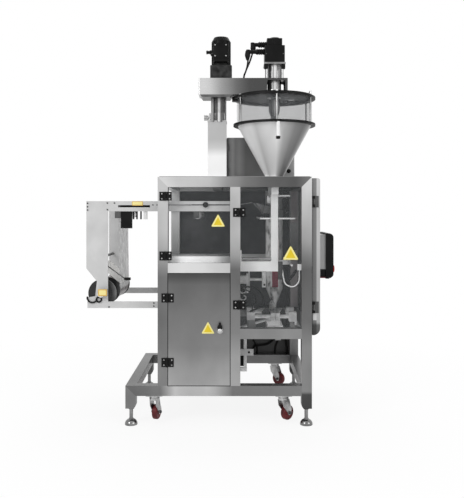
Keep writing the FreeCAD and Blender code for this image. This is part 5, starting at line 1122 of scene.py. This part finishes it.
def dress_guard():
    """The screen's rim, the collars of the two buttons and a pale plate on the guard's lower corner that is a
    painted highlight.
    """
    bezel_hi = solid_box("hmi_housing", lambda lo, hi: lo.x > 0.64 and hi.z - lo.z > 0.1)[1]
    screen_lo, screen_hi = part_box("hmi_screen")
    rim = 0.006
    back = bezel_hi.x - 0.004
    front = bezel_hi.x + 0.001
    bars = []
    for z0, z1 in ((screen_lo.z - rim, screen_lo.z), (screen_hi.z, screen_hi.z + rim)):
        bars.append(((back, screen_lo.y - rim, z0), (front, screen_hi.y + rim, z1)))
    for y0, y1 in ((screen_lo.y - rim, screen_lo.y), (screen_hi.y, screen_hi.y + rim)):
        bars.append(((back, y0, screen_lo.z), (front, y1, screen_hi.z)))
    blocks("screen_frame", "front_door", grey_box, bars, round_by=0.001)
    collar_x = bezel_hi.x - 0.002
    stop = middle("emergency_stop")
    start = middle("start_button")
    collar = [(-0.001, 0.024), (0.0025, 0.024), (0.003, 0.0225), (0.003, 0)]
    ring = [(-0.001, 0.0165), (0.002, 0.0165), (0.0025, 0.0155), (0.0025, 0)]
    turned("stop_collar", "front_door", sign_yellow, [(collar_x, stop.y, stop.z)], X, collar, 32)
    door_lo = solid_box("front_door", lambda lo, hi: hi.z - lo.z > 0.3)[0]
    # A pale plate on the guard's lower corner: painted highlight.
    corner = span((door_lo.x, door_lo.y, 0.566), (0.003, 0.023), (-0.0008, 0.001), (0, 0.066))
    blocks("guard_highlight_plate", "front_door", plate_grey, [corner], round_by=0.0)
    turned("start_collar", "front_door", bright_steel, [(collar_x, start.y, start.z)], X, ring, 32)


def dress_screen_box():
    """The dark foot and dark red trim under the operator screen."""
    box_lo, box_hi = solid_box("hmi_housing", lambda lo, hi: hi.x < screen_box_end and hi.z - lo.z > 0.1)
    width = box_hi.x - box_lo.x
    depth = box_hi.y - box_lo.y
    foot = span(box_lo, (-0.004, width + 0.001), (-0.003, depth + 0.003), (-0.003, 0.042))
    trim = span(box_lo, (0.006, width + 0.03), (-0.004, depth + 0.004), (-0.009, -0.002))
    blocks("screen_foot", "front_door", black_plastic, [foot], round_by=0.006)
    blocks("screen_trim", "front_door", trim_red, [trim], round_by=0.003)


def dress_casters():
    """Axle nuts of the casters, on both sides of each fork."""
    joints = {joint["name"]: joint for joint in frame["joints"]}
    axle_reach = 0.0215
    for corner in corners_of_base:
        axle = Vector(joints[corner + "_wheel_spin"]["axis"]).normalized()
        centre = middle("wheel_" + corner)
        for tag, way in (("inner", 1), ("outer", -1)):
            screws(
                "axle_nut_%s_%s" % (corner, tag), "fork_" + corner, dark_steel,
                [centre + axle * (way * axle_reach)], axle * way, 0.0088, add_hex, 0.007,
            )


# Right bay

hanger_rail_height = 0.055
hanger_bar_width = 0.039


def dress_hanger():
    """Pipe, stop, stay, strap and lead on the hanging support, the strips behind it and end plates; the strips
    are pale painted light on the far end post, and a pale strip on the shelf's near edge is a painted
    highlight.
    """
    hanger_lo, hanger_hi = solid_box("former_support", lambda lo, hi: lo.y < -0.2 and hi.y < 0)
    collar_top = solid_box("former_support", lambda lo, hi: lo.z > 1.1 and hi.z < 1.13)[1].z
    near = hanger_hi.y - 0.01
    bar_x = hanger_hi.x - hanger_bar_width
    rail_start = Vector((hanger_lo.x, near, hanger_lo.z))
    rail_end = Vector((hanger_hi.x, near, hanger_lo.z))
    pipe = route(
        (hanger_hi.x, near, collar_top), (-0.004, 0.004, 0.148), (0.03, 0.01, 0.148),
        (0.058, 0.04, 0.13), (0.052, 0.08, 0.09), (0.044, 0.1, 0.04), (0.042, 0.1, -0.001),
    )
    hoses("collar_pipe", "frame", black_plastic, [pipe], radius=0.0075)
    stop = span((bar_x, near, collar_top), (-0.038, -0.004), (0.055, 0.085), (-0.0005, 0.024))
    blocks("collar_stop", "frame", black_plastic, [stop])
    stay_z = hanger_lo.z + hanger_rail_height + 0.014
    stay = [(x, near + 0.005, stay_z) for x in (hanger_lo.x + 0.001, bar_x + 0.002)]
    hoses("rail_stay", "frame", chromed, [stay], radius=0.0075, curved=False)
    strap = span(rail_end, (-0.001, 0.026), (0.001, 0.006), (-0.045, hanger_rail_height))
    blocks("cable_strap", "frame", dark_sheet, [strap], round_by=0.001)
    lead = route(
        rail_end, (0.098, 0.002, 0.004), (0.092, -0.004, -0.006), (0.07, -0.004, -0.035),
        (0.045, -0.002, -0.062),
    )
    hoses("air_lead", "frame", black_plastic, [lead], radius=0.008)
    # Pale strips over the far end post's face: painted light.
    strip_end = (frame_end - 0.004, far_face - 0.0595)
    strips = []
    for inset, foot, top in ((0.004, 0.53, 0.9), (0.006, 1.08, 1.3)):
        strips.append(((end_post_inner + inset, far_face - 0.0625, foot), strip_end + (top,)))
    blocks("far_strip", "frame", far_post_painted_light, strips, round_by=0.0)
    end = span(rail_start, (-0.004, 0.02), (-0.002, 0.003), (0.004, hanger_rail_height + 0.062))
    blocks("rail_end_plate", "frame", white_plate, [end], round_by=0.001)
    # A pale strip standing on the shelf's near edge: painted highlight.
    shelf_lo, shelf_hi = solid_box("steel_panels", is_shelf)
    shelf_highlight = ((shelf_lo.x, shelf_lo.y, shelf_hi.z - 0.0005), (shelf_hi.x, shelf_lo.y + 0.002, shelf_hi.z + 0.033))
    blocks("shelf_highlight_strip", "frame", shelf_steel, [shelf_highlight], round_by=0.0)


def dress_cylinder():
    """Bolt of the seal bar, and the air hoses, bracket and lead of its cylinder."""
    sealer_lo, sealer_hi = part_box("vertical_sealer")
    bolt = (sealer_hi.x - 0.008, sealer_lo.y, sealer_lo.z + 0.016)
    screws("seal_bar_bolt", "vertical_sealer", dark_steel, [bolt], -Y, radius=0.006)
    plate_lo, plate_hi = solid_box("air_cylinder", lambda lo, hi: hi.z - lo.z > 0.1 and lo.x > 0.1)
    valve_lo, valve_hi = solid_box(
        "air_cylinder", lambda lo, hi: lo.x < 0.15 and hi.z < 0.69 and lo.z > 0.6
    )
    loops = []
    for z in (plate_lo.z + 0.026, valve_lo.z + 0.022):
        loops.append(route(
            (valve_hi.x - 0.012, valve_lo.y, z), (0, 0.002, 0), (0.002, -0.016, 0),
            (0.012, -0.02, -0.006), (0.006, -0.02, -0.022), (-0.016, -0.02, -0.024),
            (-0.024, -0.016, -0.008), (-0.026, -0.01, 0.004), (-0.026, 0.002, 0.006),
        ))
    hoses("air_hoses", "frame", hose_white, loops, radius=0.0038)
    bracket = []
    for x, z in ((plate_hi.x - 0.001, plate_lo.z + 0.01), (plate_lo.x - 0.04, plate_hi.z + 0.02)):
        outer = (plate_hi.x + 0.008, plate_lo.y + 0.004, plate_hi.z + 0.03)
        bracket.append(((x, plate_lo.y - 0.004, z), outer))
    blocks("cylinder_bracket", "frame", white_plate, bracket, round_by=0.001)
    jaw_x = solid_box("left_jaw", is_jaw_bar)[0].x
    lead = route(
        (valve_hi.x - 0.004, valve_lo.y - 0.004, valve_hi.z + 0.03), (0, 0.01, 0),
        (0.02, -0.012, 0.004), (0.058, -0.02, -0.004), (0.094, -0.03, -0.03), (0.108, -0.035, -0.07),
        (0.104, -0.04, -0.105),
    )
    lead += [Vector((jaw_x - 0.116, -0.085, 0.57)), Vector((jaw_x - 0.118, -0.085, 0.5655))]
    hoses("bay_lead", "frame", black_plastic, [lead], radius=0.0048)


def is_jaw_bar(lo, hi):
    """True for the bar of a jaw that presses the film."""
    return hi.z > 0.55


def dress_jaws():
    """White faces on the jaws and the dark webs that carry them."""
    for jaw, sign, left, right, reach in (
        ("left_jaw", -1, -0.006, 0.0, 0.052), ("right_jaw", 1, 0.0, -0.01, 0.034)
    ):
        lo, hi = solid_box(jaw, is_jaw_bar)
        face = span(lo, (left, hi.x - lo.x + right), (-0.004, 0.001), (0.004, 0.024))
        blocks(jaw + "_face", jaw, white_plate, [face])
        height = hi.z - lo.z
        outline = route(
            (lo.x if sign < 0 else hi.x, lo.y + 0.03, lo.z), (-sign * 0.001, 0, 0.012),
            (sign * reach, 0, 0.034), (sign * reach, 0, height + 0.004),
            (sign * 0.022, 0, height + 0.034), (-sign * 0.001, 0, height - 0.004),
        )
        plate(jaw + "_web", jaw, dark_sheet, outline, Y * 0.005)


def gather_film():
    """Loose folds of film gathered above the jaws."""
    film_lo = solid_box("film", lambda lo, hi: hi.z - lo.z < 0.15 and hi.x - lo.x > 0.1)[0]
    bm = bmesh.new()
    bmesh.ops.create_icosphere(bm, subdivisions=4, radius=1.0)
    size = Vector((0.021, 0.034, 0.028))
    centre = Vector((filler.x - 0.012, film_lo.y + 0.034, film_lo.z + 0.034))
    fold_depth = 0.14
    for v in bm.verts:
        fold = (
            math.sin(9 * v.co.x + 3 * v.co.z) * math.cos(7 * v.co.z - 2 * v.co.y)
            + 0.6 * math.sin(17 * v.co.z + 5 * v.co.x) * math.cos(13 * v.co.y)
        )
        shape = v.co * (1 + fold_depth * fold)
        v.co = Vector(shape[i] * size[i] for i in range(3)) + centre
    finish_mesh(bm, "gathered_film", "frame", film_folds)


# The floor, lamps and camera

near_reach = 0.8
far_reach = 2.4
floor_share = 0.55


def build_stage():
    """A pale floor that keeps soft shadows near the machine and fades to white away from it."""
    floor_mesh = bpy.data.meshes.new("floor")
    reach = 9.0
    corners = [(-reach, -reach, 0), (reach, -reach, 0), (reach, reach, 0), (-reach, reach, 0)]
    floor_mesh.from_pydata(corners, [], [(0, 1, 2, 3)])
    floor = bpy.data.objects.new("floor", floor_mesh)
    bpy.context.scene.collection.objects.link(floor)
    s = Shader("floor_white", 248, 0.0, 0.7)
    emit = s.add("ShaderNodeEmission", Strength=1.0)
    mix = s.add("ShaderNodeMixShader")
    path = s.add("ShaderNodeLightPath")
    distance = s.add("ShaderNodeVectorMath", operation="LENGTH")
    s.link(s.place(), "Vector", distance, "Vector")
    far_white = s.spread(distance, 0.88, 1.0, "Value", near_reach, far_reach)
    share = s.spread(path, floor_share, 0.9, "Is Camera Ray")
    s.link(far_white, "Result", share, "To Max")
    s.link(share, "Result", mix, "Fac")
    s.link(s.bsdf, 0, mix, 1)
    s.link(emit, 0, mix, 2)
    s.link(mix, 0, s.tree.nodes["Material Output"], "Surface")
    floor_mesh.materials.append(s.material)


def build_world():
    """An even pale studio: white to the camera and in reflections, softer as a light."""
    world = bpy.data.worlds.new("studio")
    bpy.context.scene.world = world
    world.use_nodes = True
    tree = world.node_tree
    light = tree.nodes["Background"]
    seen_white = tree.nodes.new("ShaderNodeBackground")
    for background, strength in ((light, 0.55), (seen_white, 1.0)):
        background.inputs["Color"].default_value = (1, 1, 1, 1)
        background.inputs["Strength"].default_value = strength
    path = tree.nodes.new("ShaderNodeLightPath")
    mix = tree.nodes.new("ShaderNodeMixShader")
    shown = path.outputs["Is Camera Ray"]
    for ray in ("Is Glossy Ray", "Is Transmission Ray"):
        either = tree.nodes.new("ShaderNodeMath")
        either.operation = "MAXIMUM"
        tree.links.new(shown, either.inputs[0])
        tree.links.new(path.outputs[ray], either.inputs[1])
        shown = either.outputs[0]
    tree.links.new(shown, mix.inputs[0])
    tree.links.new(light.outputs[0], mix.inputs[1])
    tree.links.new(seen_white.outputs[0], mix.inputs[2])
    tree.links.new(mix.outputs[0], tree.nodes["World Output"].inputs["Surface"])


def area_lamp(name, place, aim, size, power):
    lamp = bpy.data.lights.new(name, "AREA")
    lamp.size = size
    lamp.energy = power
    holder = bpy.data.objects.new(name, lamp)
    bpy.context.scene.collection.objects.link(holder)
    holder.location = place
    direction = Vector(aim) - Vector(place)
    holder.rotation_euler = direction.to_track_quat("-Z", "Y").to_euler()


def build_lamps():
    area_lamp("key_lamp", (-3.2, -4.2, 3.6), aim=(0, 0, 1.1), size=2.4, power=120.0)
    area_lamp("fill_lamp", (3.6, -3.4, 2.4), aim=(0, 0, 1.0), size=2.6, power=55.0)
    area_lamp("top_lamp", (0.2, 1.4, 4.4), aim=(0, 0, 1.2), size=2.6, power=60.0)


picture_height = 498
camera_place = (0.1278, -3.9008, 1.1568)
camera_turn = 0.191
camera_focal = 651.8
camera_drop = 38.2


def build_camera():
    """The photograph's viewpoint; focal length and drop are in its pixels."""
    camera = bpy.data.cameras.new("camera")
    camera.sensor_fit = "VERTICAL"
    camera.sensor_height = 24.0
    camera.lens = camera_focal / picture_height * camera.sensor_height
    camera.shift_y = -camera_drop / picture_height
    holder = bpy.data.objects.new("camera", camera)
    bpy.context.scene.collection.objects.link(holder)
    holder.location = camera_place
    holder.rotation_euler = (math.radians(90), 0, math.radians(camera_turn))
    bpy.context.scene.camera = holder
    bpy.context.scene.view_settings.view_transform = "Standard"


paint_frame()
paint_doors()
paint_head()
paint_rack()
paint_sealing()
dress_doors()
dress_rail()
dress_roll()
dress_gear_motor()
dress_servo()
dress_hopper()
dress_column()
dress_box()
dress_guard()
dress_screen_box()
dress_casters()
dress_hanger()
dress_cylinder()
dress_jaws()
gather_film()
build_stage()
build_world()
build_lamps()
build_camera()
